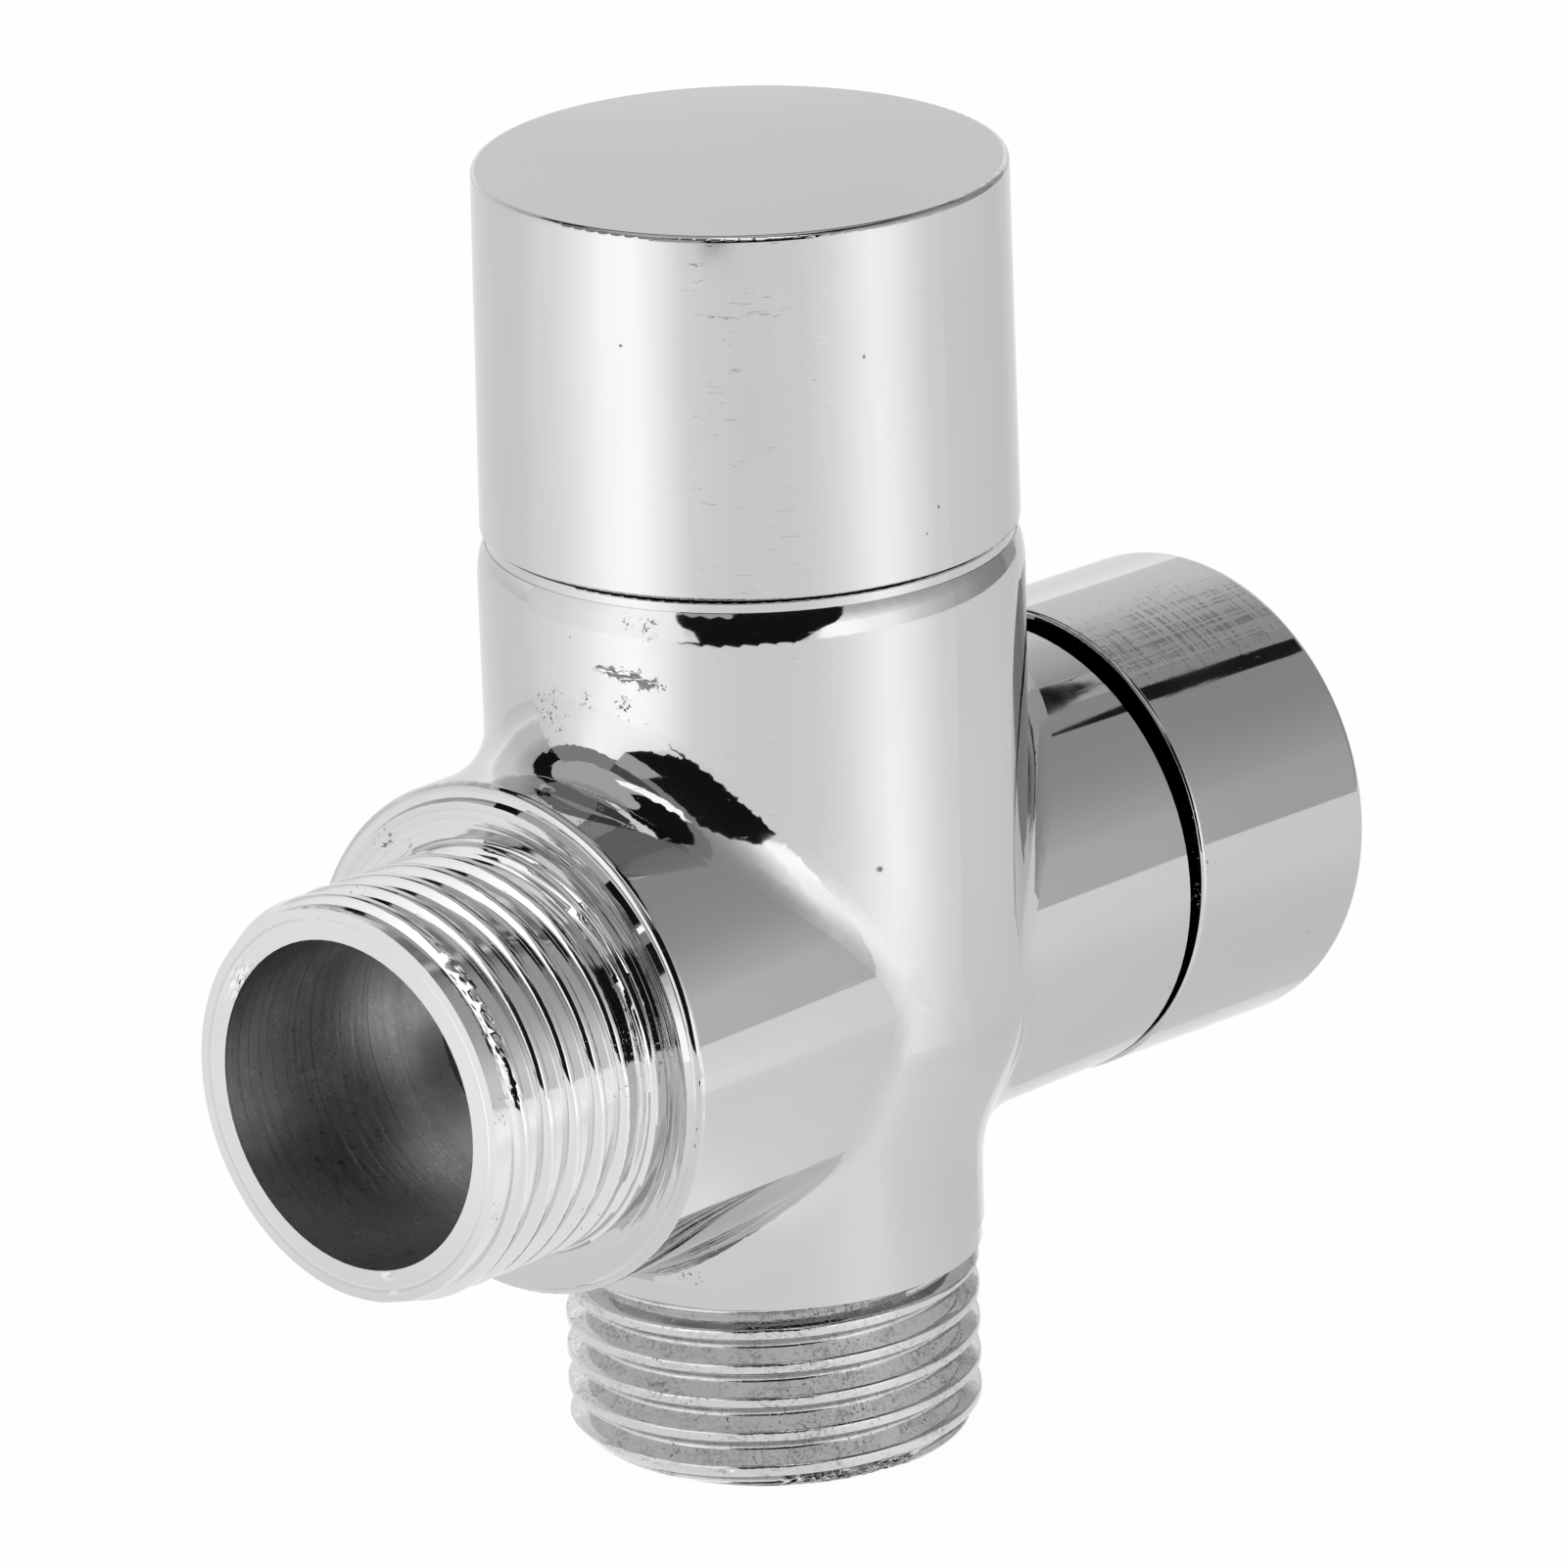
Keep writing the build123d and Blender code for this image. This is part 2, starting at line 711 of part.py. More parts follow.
# swivel collar: lip, cavity and internal thread, turned about its own drooping axis
collar_plane = Plane(
    origin=(0, run_rear + collar_gap, run_height + collar_lift),
    x_dir=(0, cos(radians(collar_droop)), -sin(radians(collar_droop))),
    z_dir=(1, 0, 0),
)
collar_axis = Axis(collar_plane.origin, collar_plane.x_dir)
with BuildPart() as swivel_collar:
    with BuildSketch(collar_plane):
        with BuildLine():
            Polyline(
                (0, collar_lip_radius),
                (0, collar_radius),
                (collar_length, collar_radius),
                (collar_length, thread_minor_radius),
                (cavity_end, thread_minor_radius),
                (cavity_end, collar_cavity_radius),
                (collar_lip_length, collar_cavity_radius),
                (collar_lip_length, collar_lip_radius),
                close=True,
            )
        make_face()
    revolve(axis=collar_axis)
    front_edges = swivel_collar.edges().filter_by(GeomType.CIRCLE).sort_by(collar_axis)[:2]
    chamfer(front_edges.sort_by(SortBy.RADIUS)[-1], length=collar_front_edge)
    mouth_edges = swivel_collar.edges().filter_by(GeomType.CIRCLE).sort_by(collar_axis)[-2:]
    fillet(mouth_edges.sort_by(SortBy.RADIUS)[-1], radius=collar_mouth_round)
    chamfer(mouth_edges.sort_by(SortBy.RADIUS)[0], length=collar_mouth_chamfer)
swivel_collar.part.label = "swivel_collar"


# retaining ring that keeps the collar on the tail
retainer_start = retainer_groove_start + (retainer_groove_width - retainer_thickness) / 2
retainer_plane = Plane(origin=(0, retainer_start, run_height), x_dir=(1, 0, 0), z_dir=(0, 1, 0))
collar_retaining_ring = split_ring(
    retainer_plane, retainer_radius, retainer_groove_radius, retainer_thickness, retainer_gap
)
collar_retaining_ring.part.label = "collar_retaining_ring"


# washer on the end of the tail
with BuildPart() as inlet_washer:
    with BuildSketch(Plane(origin=(0, tail_end, run_height), x_dir=(1, 0, 0), z_dir=(0, 1, 0))):
        Circle(washer_radius)
        Circle(washer_bore, mode=Mode.SUBTRACT)
    extrude(amount=washer_thickness)
inlet_washer.part.label = "inlet_washer"


# perforated screen in the mouth of the tail
with BuildPart() as inlet_screen:
    screen_start = tail_end - screen_seat_depth
    with BuildSketch(Plane(origin=(0, screen_start, run_height), x_dir=(1, 0, 0), z_dir=(0, 1, 0))):
        Circle(screen_seat_radius - loose_clearance)
        with HexLocations(screen_pitch / 2, 5, 5):
            Circle(screen_hole_radius, mode=Mode.SUBTRACT)
    extrude(amount=screen_thickness)
inlet_screen.part.label = "inlet_screen"


for piece in (
    valve_body,
    spacer_ring,
    bonnet_nut,
    cartridge_housing,
    housing_o_ring,
    seat_seal,
    fixed_disc,
    moving_disc,
    disc_driver,
    stem,
    stem_o_ring_lower,
    stem_o_ring_upper,
    thrust_washer,
    stem_clip,
    knob,
    knob_insert,
    knob_set_screw,
    swivel_collar,
    collar_retaining_ring,
    inlet_washer,
    inlet_screen,
):
    export_step(piece.part, f"parts/{piece.part.label}.step")
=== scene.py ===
"""The looks of the shower diverter valve: plating, real pipe threads, studio cards and camera."""

import json
import math

import bmesh
import bpy
import numpy as np
from mathutils import Matrix, Vector


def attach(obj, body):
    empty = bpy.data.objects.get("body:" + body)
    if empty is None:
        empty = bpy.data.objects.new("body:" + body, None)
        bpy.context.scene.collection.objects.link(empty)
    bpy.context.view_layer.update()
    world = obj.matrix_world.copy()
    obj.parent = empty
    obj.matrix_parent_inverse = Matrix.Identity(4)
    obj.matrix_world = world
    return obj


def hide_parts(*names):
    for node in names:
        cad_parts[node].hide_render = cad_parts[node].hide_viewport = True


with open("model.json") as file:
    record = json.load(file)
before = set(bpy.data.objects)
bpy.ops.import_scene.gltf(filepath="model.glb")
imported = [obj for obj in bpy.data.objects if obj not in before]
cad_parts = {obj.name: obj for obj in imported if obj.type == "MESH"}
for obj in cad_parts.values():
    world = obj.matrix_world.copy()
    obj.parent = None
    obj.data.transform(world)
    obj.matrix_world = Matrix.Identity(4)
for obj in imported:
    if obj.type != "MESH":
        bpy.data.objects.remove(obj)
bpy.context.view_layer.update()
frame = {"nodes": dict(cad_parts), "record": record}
nodes = frame["nodes"]

# Lengths are in mm and angles in radians, unless a comment says otherwise.
MM = 0.001
TURN = 2 * math.pi

# The pipe thread: flanks 55 degrees apart under a broad polished crest.
PITCH = 1.814
CREST_RADIUS = 20.955 / 2
FLANK_SLOPE = 1 / math.tan(math.radians(27.5))
CREST_HALF = 0.26
CREST_CROWN = 0.035
CREST_ROUNDING, ROOT_ROUNDING = 0.12, 0.25
GROOVE_DEPTH = 1.02

# The spigots: distances along each axis, from the column's axis and from the bottom's end face.
RUN_HEIGHT = 25.4
FRONT_ROOT, FRONT_TIP = 19.1, 30.0
BOTTOM_ROOT, BOTTOM_TIP = -9.8, 0.0
BORE_RADIUS, INNER_EDGE = 8.4, 8.44
FACE_RADIUS, CHAMFER = 9.6, 1.0
SHOULDER_RADIUS, SHOULDER_EDGE = 12.45, 12.40
SHOULDER_STEP = 0.09
SHOULDER_FACE = FRONT_ROOT + SHOULDER_STEP
NECK_BAND_RADIUS = 10.6775

# Where a crest's middle lies at angle 0, as the photo shows it.
FRONT_PHASE = 28.31
BOTTOM_PHASE = -8.40 - PITCH * math.radians(47.12) / TURN

# The swivel collar, which hangs down in its play, with its inside thread.
DROOP = math.radians(1.6)
COLLAR_RADIUS, COLLAR_EDGE = 12.25, 0.2
COLLAR_START, COLLAR_END, COLLAR_FADE = 5.6, 11.9, 0.9
MINOR_RADIUS = 9.35

# The new meshes: their columns, the margin of their end rings, and where a slope's angle is taken.
COLUMNS = 216
END_MARGIN = 0.02
SLOPE_RADIUS = 9.0


# Small tools for numbers

def soft_min(a, b, width):
    """The smaller of two values, rounded where they cross."""
    h = np.clip(0.5 + 0.5 * (b - a) / width, 0, 1)
    return b + (a - b) * h - width * h * (1 - h)


def smooth(start, end, value):
    """0 at the start and 1 at the end, with a soft change between them."""
    t = np.clip((value - start) / (end - start), 0, 1)
    return t * t * (3 - 2 * t)


def bell(distance, width):
    return np.exp(-((distance / width) ** 2))


def turned(angle, middle):
    """The angle from a middle given in degrees, the short way round."""
    return (angle - math.radians(middle) + math.pi) % TURN - math.pi


def thread_depth(distance):
    """How far the thread lies under its crest, by the distance from a crest's middle."""
    x = np.abs((distance / PITCH + 0.5) % 1.0 - 0.5) * PITCH
    flank = -soft_min((CREST_HALF - x) * FLANK_SLOPE, 0.0, CREST_ROUNDING)
    crown = CREST_CROWN * np.minimum(x / CREST_HALF, 1.0) ** 2
    return soft_min(flank + crown, GROOVE_DEPTH, ROOT_ROUNDING)


def wobble(a, b, seed):
    """A smooth unevenness, mostly from -1 to 1, over two coordinates, the same at each run."""
    total = np.zeros(np.broadcast(a, b).shape)
    for k in range(1, 5):
        wave = np.sin(a * k * 1.7 + seed * k + np.sin(b * 0.9 * k + seed) * 1.3)
        total = total + wave * np.cos(b * k * 1.3 - seed)
    return total / 3


def slopes(surface, angle, other, step):
    """How a surface rises with its angle and with its other coordinate, over small steps."""
    turn = step / SLOPE_RADIUS
    by_angle = (surface(angle + turn, other) - surface(angle - turn, other)) / (2 * turn)
    by_other = (surface(angle, other + step) - surface(angle, other - step)) / (2 * step)
    return by_angle, by_other


class Place:
    """Cylinder coordinates about an axis: an angle, a radius and a distance along the axis."""

    def __init__(self, origin, first, second, along):
        axes = (origin, first, second, along)
        self.origin, self.first, self.second, self.along = (np.array(v, float) for v in axes)

    def point(self, angle, radius, s):
        angle, radius, s = (v[..., None] for v in np.broadcast_arrays(angle, radius, s))
        flat = np.cos(angle) * self.first + np.sin(angle) * self.second
        return self.origin + flat * radius + s * self.along

    def direction(self, angle, outward, around, forward):
        """A vector given by its parts away from the axis, around it and along it."""
        parts = np.broadcast_arrays(angle, outward, around, forward)
        angle, outward, around, forward = (part[..., None] for part in parts)
        cos, sin = np.cos(angle), np.sin(angle)
        radial = cos * self.first + sin * self.second
        tangent = cos * self.second - sin * self.first
        return radial * outward + tangent * around + self.along * forward

    def read(self, points):
        rel = points - self.origin
        a, b = rel @ self.first, rel @ self.second
        return np.arctan2(b, a) % TURN, np.hypot(a, b), rel @ self.along


# Meshes made from a CAD node and new strips

def read_all(collection, name, kind=float):
    """An attribute of three numbers, read from each part of a mesh."""
    values = np.zeros(len(collection) * 3, kind)
    collection.foreach_get(name, values)
    return values.reshape(-1, 3)


def is_flat(tri):
    """Which triangles have two corners in one point."""
    a, b, c = tri.T
    return (a == b) | (b == c) | (a == c)


def turned_over(co, tri):
    """Which triangles of a closed mesh run against the others."""
    mesh = bpy.data.meshes.new("turning")
    mesh.from_pydata(co.tolist(), [], tri.tolist())
    work = bmesh.new()
    work.from_mesh(mesh)
    bmesh.ops.recalc_face_normals(work, faces=work.faces)
    after = np.array([[v.index for v in face.verts] for face in work.faces])
    work.free()
    bpy.data.meshes.remove(mesh)
    start = np.argmax(after == tri[:, :1], axis=1)
    follows = after[np.arange(len(tri)), (start + 1) % 3]
    return follows != tri[:, 1]


class Shell:
    """A closed mesh that starts as a CAD node without some of its triangles."""

    def __init__(self, node, drop):
        mesh = node.data
        mesh.calc_loop_triangles()
        co = read_all(mesh.vertices, "co") / MM
        corners = read_all(mesh.corner_normals, "vector")
        tri = read_all(mesh.loop_triangles, "vertices", int)
        loops = read_all(mesh.loop_triangles, "loops", int)
        merged = np.unique(np.round(co, 3), axis=0, return_index=True, return_inverse=True)
        _, first, index = merged
        co = co[first]
        tri = index.reshape(-1)[tri]
        keep = ~drop(co[tri]) & ~is_flat(tri)
        self.points = [co]
        self.total = len(co)
        self.tri = [tri[keep]]
        self.normals = [corners[loops[keep]]]
        self.kinds = [np.zeros(keep.sum(), int)]

    def add_points(self, points):
        self.points.append(points)
        ids = np.arange(self.total, self.total + len(points))
        self.total += len(points)
        return ids

    def add_faces(self, tri, normals, kind=0):
        """Triangles with a normal for each corner, turned so that they face along their normals."""
        good = ~is_flat(tri)
        tri, normals = tri[good], normals[good]
        co = np.concatenate(self.points)
        a, b, c = (co[tri[:, i]] for i in range(3))
        against = np.einsum("ij,ij->i", np.cross(b - a, c - a), normals.sum(1)) < 0
        tri[against] = tri[against][:, ::-1]
        normals[against] = normals[against][:, ::-1]
        self.tri.append(tri)
        self.normals.append(normals)
        self.kinds.append(np.full(len(tri), kind))

    def grid(self, ids, normals, kind=0):
        """Two triangles for each cell of a grid of point numbers with their normals."""
        a, b = (ids[:-1, :-1], normals[:-1, :-1]), (ids[1:, :-1], normals[1:, :-1])
        c, d = (ids[1:, 1:], normals[1:, 1:]), (ids[:-1, 1:], normals[:-1, 1:])
        for corners in ((a, b, c), (a, c, d)):
            tri = np.stack([corner[0].ravel() for corner in corners], 1)
            nor = np.stack([corner[1].reshape(-1, 3) for corner in corners], 1)
            self.add_faces(tri, nor, kind)

    def ring(self, place, radius, along, reach=0.004):
        """The CAD's own points on a circle, in order of their angle, with the angles."""
        angle, r, s = place.read(self.points[0])
        used = np.zeros(len(r), bool)
        used[np.unique(self.tri[0])] = True
        found = np.where((abs(r - radius) < reach) & (abs(s - along) < reach) & used)[0]
        order = found[np.argsort(angle[found])]
        return order, angle[order]

    def join(self, place, ids, angles, radius, along, forward=1.0):
        """Flat triangles from a ring of new points to the CAD's own ring at a radius.

        The rings have different numbers of points. forward is where the triangles face.
        """
        own, own_angles = self.ring(place, radius, along)
        next_angle = np.append(angles[1:], angles[0] + TURN)
        next_own = np.append(own_angles[1:], own_angles[0] + TURN)
        i = j = 0
        faces = []
        while i < len(ids) or j < len(own):
            a, b = ids[i % len(ids)], own[j % len(own)]
            if j >= len(own) or (i < len(ids) and next_angle[i] <= next_own[j]):
                i += 1
                faces.append((a, b, ids[i % len(ids)]))
            else:
                j += 1
                faces.append((a, b, own[j % len(own)]))
        normals = np.broadcast_to(place.along * forward, (len(faces), 3, 3)).copy()
        self.add_faces(np.array(faces), normals)

    def build(self, name, materials):
        co = np.concatenate(self.points)
        tri = np.concatenate(self.tri)
        normals = np.concatenate(self.normals)
        used, index = np.unique(tri, return_inverse=True)
        tri = index.reshape(-1, 3)
        over = turned_over(co[used], tri)
        tri[over] = tri[over][:, ::-1]
        normals[over] = normals[over][:, ::-1]
        mesh = bpy.data.meshes.new(name)
        mesh.from_pydata((co[used] * MM).tolist(), [], tri.tolist())
        for material in materials:
            mesh.materials.append(material)
        mesh.polygons.foreach_set("use_smooth", np.ones(len(tri), bool))
        mesh.polygons.foreach_set("material_index", np.concatenate(self.kinds))
        lengths = np.maximum(np.linalg.norm(normals, axis=2, keepdims=True), 1e-9)
        mesh.normals_split_custom_set((normals / lengths).reshape(-1, 3).tolist())
        mesh.update()
        piece = bpy.data.objects.new(name, mesh)
        bpy.context.scene.collection.objects.link(piece)
        return piece


def helix_rows():
    """Where the rows of a thread's mesh lie within one pitch, closest on the roundings."""
    half = np.array([0.0, 0.13, 0.2, 0.235, 0.265, 0.295, 0.34, 0.46, 0.6, 0.7, 0.79])
    return np.concatenate([half, [PITCH / 2], PITCH - half[:0:-1]])


def helix_strip(shell, place, height, low, high, inward=False, kind=0):
    """The surface of radius height(angle, s) between two distances along the axis.

    Its rows follow the thread. It returns its columns' angles and its two end rings.
    """
    within = helix_rows()
    per_pitch = len(within)
    turns = np.arange(math.floor((low - PITCH) / PITCH) - 1, math.ceil(high / PITCH) + 2)
    rows = (turns[:, None] * PITCH + within[None, :]).ravel()
    angle = np.arange(COLUMNS) * TURN / COLUMNS
    s = rows[:, None] + PITCH * angle[None, :] / TURN
    below, above = s < low + END_MARGIN, s > high - END_MARGIN
    free = ~(below | above)
    grid_angle = np.broadcast_to(angle, s.shape)

    def add(angle, s):
        return shell.add_points(place.point(angle, height(angle, s), s))

    low_ids = add(angle, np.full_like(angle, low))
    high_ids = add(angle, np.full_like(angle, high))
    ids = np.zeros(s.shape, int)
    ids[free] = add(grid_angle[free], s[free])
    ids[below] = np.broadcast_to(low_ids, s.shape)[below]
    ids[above] = np.broadcast_to(high_ids, s.shape)[above]

    inner_s = np.clip(s, low + 0.003, high - 0.003)
    by_angle, by_s = slopes(height, grid_angle, inner_s, 0.004)
    around = -by_angle / height(grid_angle, inner_s)
    normals = place.direction(grid_angle, 1.0, around, -by_s) * (-1 if inward else 1)
    ids = np.concatenate([ids[:-per_pitch], ids[per_pitch:, :1]], 1)
    normals = np.concatenate([normals[:-per_pitch], normals[per_pitch:, :1]], 1)
    shell.grid(ids, normals, kind)
    return angle, low_ids, high_ids


def flat_rows(shell, place, angle, ids, start_radius, end_radius, s, steps, relief):
    """A turned ring face, row by row, from a ring of points to another radius.

    relief(angle, radius) is how far it stands out. It returns its last row's points.
    """
    rows, radii = [ids], [start_radius]
    for k in range(1, steps + 1):
        t = k / steps
        radius = start_radius * (1 - t) + end_radius * t
        rows.append(shell.add_points(place.point(angle, radius, s + relief(angle, radius))))
        radii.append(radius)
    ids, radii = np.stack(rows), np.stack(radii)
    grid_angle = np.broadcast_to(angle, radii.shape)
    by_angle, by_radius = slopes(relief, grid_angle, radii, 0.01)
    normals = place.direction(grid_angle, -by_radius, -by_angle / radii, 1.0)
    ids = np.concatenate([ids, ids[:, :1]], 1)
    shell.grid(ids, np.concatenate([normals, normals[:, :1]], 1))
    return rows[-1]


# Materials

CHROME = 0.59


def grey(value):
    return (value, value, value, 1.0)


def shown(level):
    """How bright a card is for its mirror image in the plating to show at this level, of 255."""
    return ((level / 255 + 0.055) / 1.055) ** 2.4 / CHROME


def shown_at(levels):
    return [(at, shown(level)) for at, level in levels]


class Net:
    """The node tree of a material or world, with short calls to add nodes."""

    def __init__(self, name, made=bpy.data.materials, output="ShaderNodeOutputMaterial"):
        self.owner = made.new(name)
        self.owner.use_nodes = True
        self.tree = self.owner.node_tree
        self.tree.nodes.clear()
        self.output = self.tree.nodes.new(output)

    def done(self, surface):
        self.put(self.output, 0, surface)
        return self.owner

    def add(self, kind, inputs=None, **settings):
        node = self.tree.nodes.new(kind)
        for key, value in settings.items():
            setattr(node, key, value)
        for key, value in (inputs or {}).items():
            self.put(node, key, value)
        return node

    def put(self, node, key, value):
        socket = node.inputs[key]
        if isinstance(value, bpy.types.NodeSocket):
            self.tree.links.new(value, socket)
        elif isinstance(value, bpy.types.Node):
            self.tree.links.new(value.outputs[0], socket)
        else:
            socket.default_value = value

    def math(self, operation, a, b=0.0, c=None, clamp=False):
        inputs = {0: a, 1: b} if c is None else {0: a, 1: b, 2: c}
        return self.add("ShaderNodeMath", inputs, operation=operation, use_clamp=clamp).outputs[0]

    def range(self, value, low, high, to_low=0.0, to_high=1.0, kind="SMOOTHSTEP"):
        inputs = {
            "Value": value, "From Min": low, "From Max": high, "To Min": to_low, "To Max": to_high,
        }
        return self.add("ShaderNodeMapRange", inputs, interpolation_type=kind).outputs[0]

    def mix(self, factor, a, b):
        """A colour between two."""
        return self.add("ShaderNodeMix", {0: factor, 6: a, 7: b}, data_type="RGBA").outputs[2]

    def blend(self, factor, a, b):
        """A shader between two."""
        return self.add("ShaderNodeMixShader", {0: factor, 1: a, 2: b})

    def glow(self, strength):
        return self.add("ShaderNodeEmission", {"Color": grey(1.0), "Strength": strength})

    def place(self):
        """Position on the piece at rest, in metres."""
        return self.add("ShaderNodeTexCoord").outputs["Object"]

    def parts(self, vector):
        return self.add("ShaderNodeSeparateXYZ", {0: vector}).outputs

    def squares(self, x, y):
        return self.math("MULTIPLY_ADD", x, x, self.math("MULTIPLY", y, y))

    def bearing(self, x, y):
        """The azimuth in degrees, 0 in front and 90 at the right."""
        angle = self.math("ARCTAN2", x, self.math("MULTIPLY", y, -1.0))
        return self.math("MULTIPLY", angle, math.degrees(1))

    def scaled(self, vector, x, y, z):
        return self.add("ShaderNodeMapping", {"Vector": vector, "Scale": (x, y, z)}).outputs[0]

    def noise(self, vector, scale, detail=2.0, roughness=0.5, distortion=0.0):
        inputs = {
            "Vector": vector, "Scale": scale, "Detail": detail, "Roughness": roughness,
            "Distortion": distortion,
        }
        return self.add("ShaderNodeTexNoise", inputs).outputs[0]

    def near(self, vector, point, reach, stretch=(1, 1, 1)):
        """1 at a point, falling unevenly to 0 at the reach, which is longer where stretched."""
        scale = tuple(1 / v for v in stretch)
        middle = tuple(v * MM * s for v, s in zip(point, scale))
        ends = {0: self.scaled(vector, *scale), 1: middle}
        away = self.add("ShaderNodeVectorMath", ends, operation="DISTANCE").outputs["Value"]
        ragged = self.range(self.noise(vector, 2600, 3.0, 0.7), 0.3, 0.7, 0.55, 1.6)
        away = self.math("MULTIPLY", away, ragged)
        return self.range(away, reach * MM * 0.3, reach * MM, 1.0, 0.0)

    def near_any(self, vector, zones):
        """The highest value of near() for some zones, each with a point, a reach and a stretch."""
        top = 0.0
        for zone in zones:
            top = self.math("MAXIMUM", top, self.near(vector, *zone))
        return top

    def curve(self, value, pairs):
        """A value that follows straight lines between (value, result) pairs."""
        low, high = pairs[0][0], pairs[-1][0]
        peak = max(result for _, result in pairs)
        along = self.range(value, low, high, kind="LINEAR")
        ramp = self.add("ShaderNodeValToRGB", {0: along})
        stops = ramp.color_ramp.elements
        stops[0].color, stops[1].color = grey(pairs[0][1] / peak), grey(pairs[-1][1] / peak)
        for at, result in pairs[1:-1]:
            stops.new((at - low) / (high - low)).color = grey(result / peak)
        return self.math("MULTIPLY", ramp.outputs[0], peak)

    def bump(self, height, distance, normal=None):
        inputs = {"Height": height, "Distance": distance * MM, "Strength": 1.0}
        if normal is not None:
            inputs["Normal"] = normal
        return self.add("ShaderNodeBump", inputs).outputs[0]

    def shade(self, colour, roughness, normal, metallic=1.0):
        inputs = {
            "Base Color": colour, "Roughness": roughness, "Metallic": metallic, "Normal": normal,
        }
        return self.done(self.add("ShaderNodeBsdfPrincipled", inputs))


def plated(
    name, base=CHROME, pitted=0.0, spots=(), dots=(), wavy=1.0, gloss=(0.03, 0.07), extra=None
):
    """Chrome plate: nearly a mirror, with slight waves, hairlines, faint haze and some pits.

    spots are zones of pits and dots are single ones, each with its middle and its reach.
    extra(net, at, colour, normal) adds to the colour and the normal.
    """
    net = Net(name)
    at = net.place()
    haze = net.noise(at, 140, 4.0, 0.6)
    cloud = net.noise(at, 45, 2.0)
    hairs = net.noise(net.scaled(at, 900, 160, 5200), 1.0, 3.0, 0.6, 0.6)
    hair_mask = net.range(hairs, 0.66, 0.72)
    cells = net.add("ShaderNodeTexVoronoi", {"Vector": at, "Scale": 280}).outputs
    number = net.add("ShaderNodeSeparateColor", {0: cells["Color"]})
    chosen = net.math("GREATER_THAN", number, 0.72)
    pits = net.math("MULTIPLY", net.range(cells["Distance"], 0.008, 0.016, 1.0, 0.0), chosen)
    if pitted:
        zone = net.range(net.noise(at, 210, 2.0), 0.66 - 0.2 * pitted, 0.72 - 0.1 * pitted)
        eaten = net.range(net.noise(at, 5200, 2.0, 0.6), 0.66 - 0.04 * pitted, 0.74)
        pits = net.math("MAXIMUM", pits, net.math("MULTIPLY", eaten, zone))
    if spots:
        eaten = net.range(net.noise(at, 4200, 4.0, 0.7), 0.57, 0.63)
        eaten = net.math("MULTIPLY", eaten, net.near_any(at, spots))
        pits = net.math("MAXIMUM", pits, eaten)
    if dots:
        pits = net.math("MAXIMUM", pits, net.near_any(at, dots))
    colour = net.mix(net.range(cloud, 0.3, 0.75), grey(base), grey(base * 0.965))
    colour = net.mix(net.math("MULTIPLY", pits, 0.85), colour, grey(0.12))
    roughness = net.range(haze, 0.35, 0.75, *gloss)
    roughness = net.math("MULTIPLY_ADD", hair_mask, 0.05, roughness)
    roughness = net.math("MULTIPLY_ADD", pits, 0.4, roughness, clamp=True)
    normal = net.bump(net.noise(at, 60, 1.0), 0.05 * wavy)
    normal = net.bump(net.noise(at, 420, 2.0), 0.0012 * wavy, normal)
    normal = net.bump(hair_mask, 0.0012, normal)
    if extra:
        colour, normal = extra(net, at, colour, normal)
    normal = net.bump(pits, -0.03, normal)
    return net.shade(colour, roughness, normal)


def crowned(net, at, colour, normal):
    """The knob's top is very slightly domed by polishing."""
    parts = net.parts(at)
    fall = net.math("MULTIPLY", net.squares(parts["X"], parts["Y"]), -900.0)
    return colour, net.bump(fall, 1.0, normal)


def scuffed(net, at, colour, normal):
    """The barrel's scuff: a lens of torn plating, crossed by light scratches."""
    lens = net.range(net.near_any(at, SCUFF), 0.25, 0.5)
    lines = net.noise(net.scaled(at, 1100, 1100, 4600), 1.0, 2.0, 0.6, 0.4)
    lines = net.range(lines, 0.48, 0.58)
    torn = net.mix(lines, grey(0.16), grey(0.62))
    return net.mix(lens, colour, torn), net.bump(net.math("MULTIPLY", lens, lines), 0.03, normal)


def stained(net, at, colour, normal):
    """The bottom thread: thin, rough plate, dulled in patches, with fine specks of dirt."""
    patches = net.noise(net.scaled(at, 420, 420, 900), 1.0, 4.0, 0.7)
    specks = net.noise(net.scaled(at, 3600, 3600, 5200), 1.0, 3.0, 0.7)
    dirt = net.math("MULTIPLY", net.range(patches, 0.42, 0.66), net.range(specks, 0.44, 0.64))
    rough = net.noise(net.scaled(at, 900, 900, 2200), 1.0, 4.0, 0.65)
    colour = net.mix(net.math("MULTIPLY", dirt, 0.6), colour, grey(0.17))
    return colour, net.bump(rough, 0.016, normal)


def woven(net, at, colour, normal):
    """The collar's top keeps the cloth of its polishing wheel: lines along it and around it."""
    around = net.noise(net.scaled(at, 40, 5800, 40), 1.0, 1.0, 0.5)
    along = net.noise(net.scaled(at, 5800, 40, 5800), 1.0, 1.0, 0.5)
    cross = net.math("ADD", net.range(around, 0.35, 0.65), net.range(along, 0.35, 0.65))
    above_band = net.range(net.parts(at)["X"], 7.0 * MM, 7.9 * MM, 1.0, 0.0)
    zone = net.math("MULTIPLY", net.near(at, (5.4, 26.5, 36.4), 3.6, (1.0, 3.2, 1.0)), above_band)
    dark = net.math("MULTIPLY", zone, net.range(cross, 0.9, 1.5, 0.0, 0.62))
    colour = net.mix(dark, colour, grey(0.2))
    return colour, net.bump(net.math("MULTIPLY", zone, cross), 0.0022, normal)


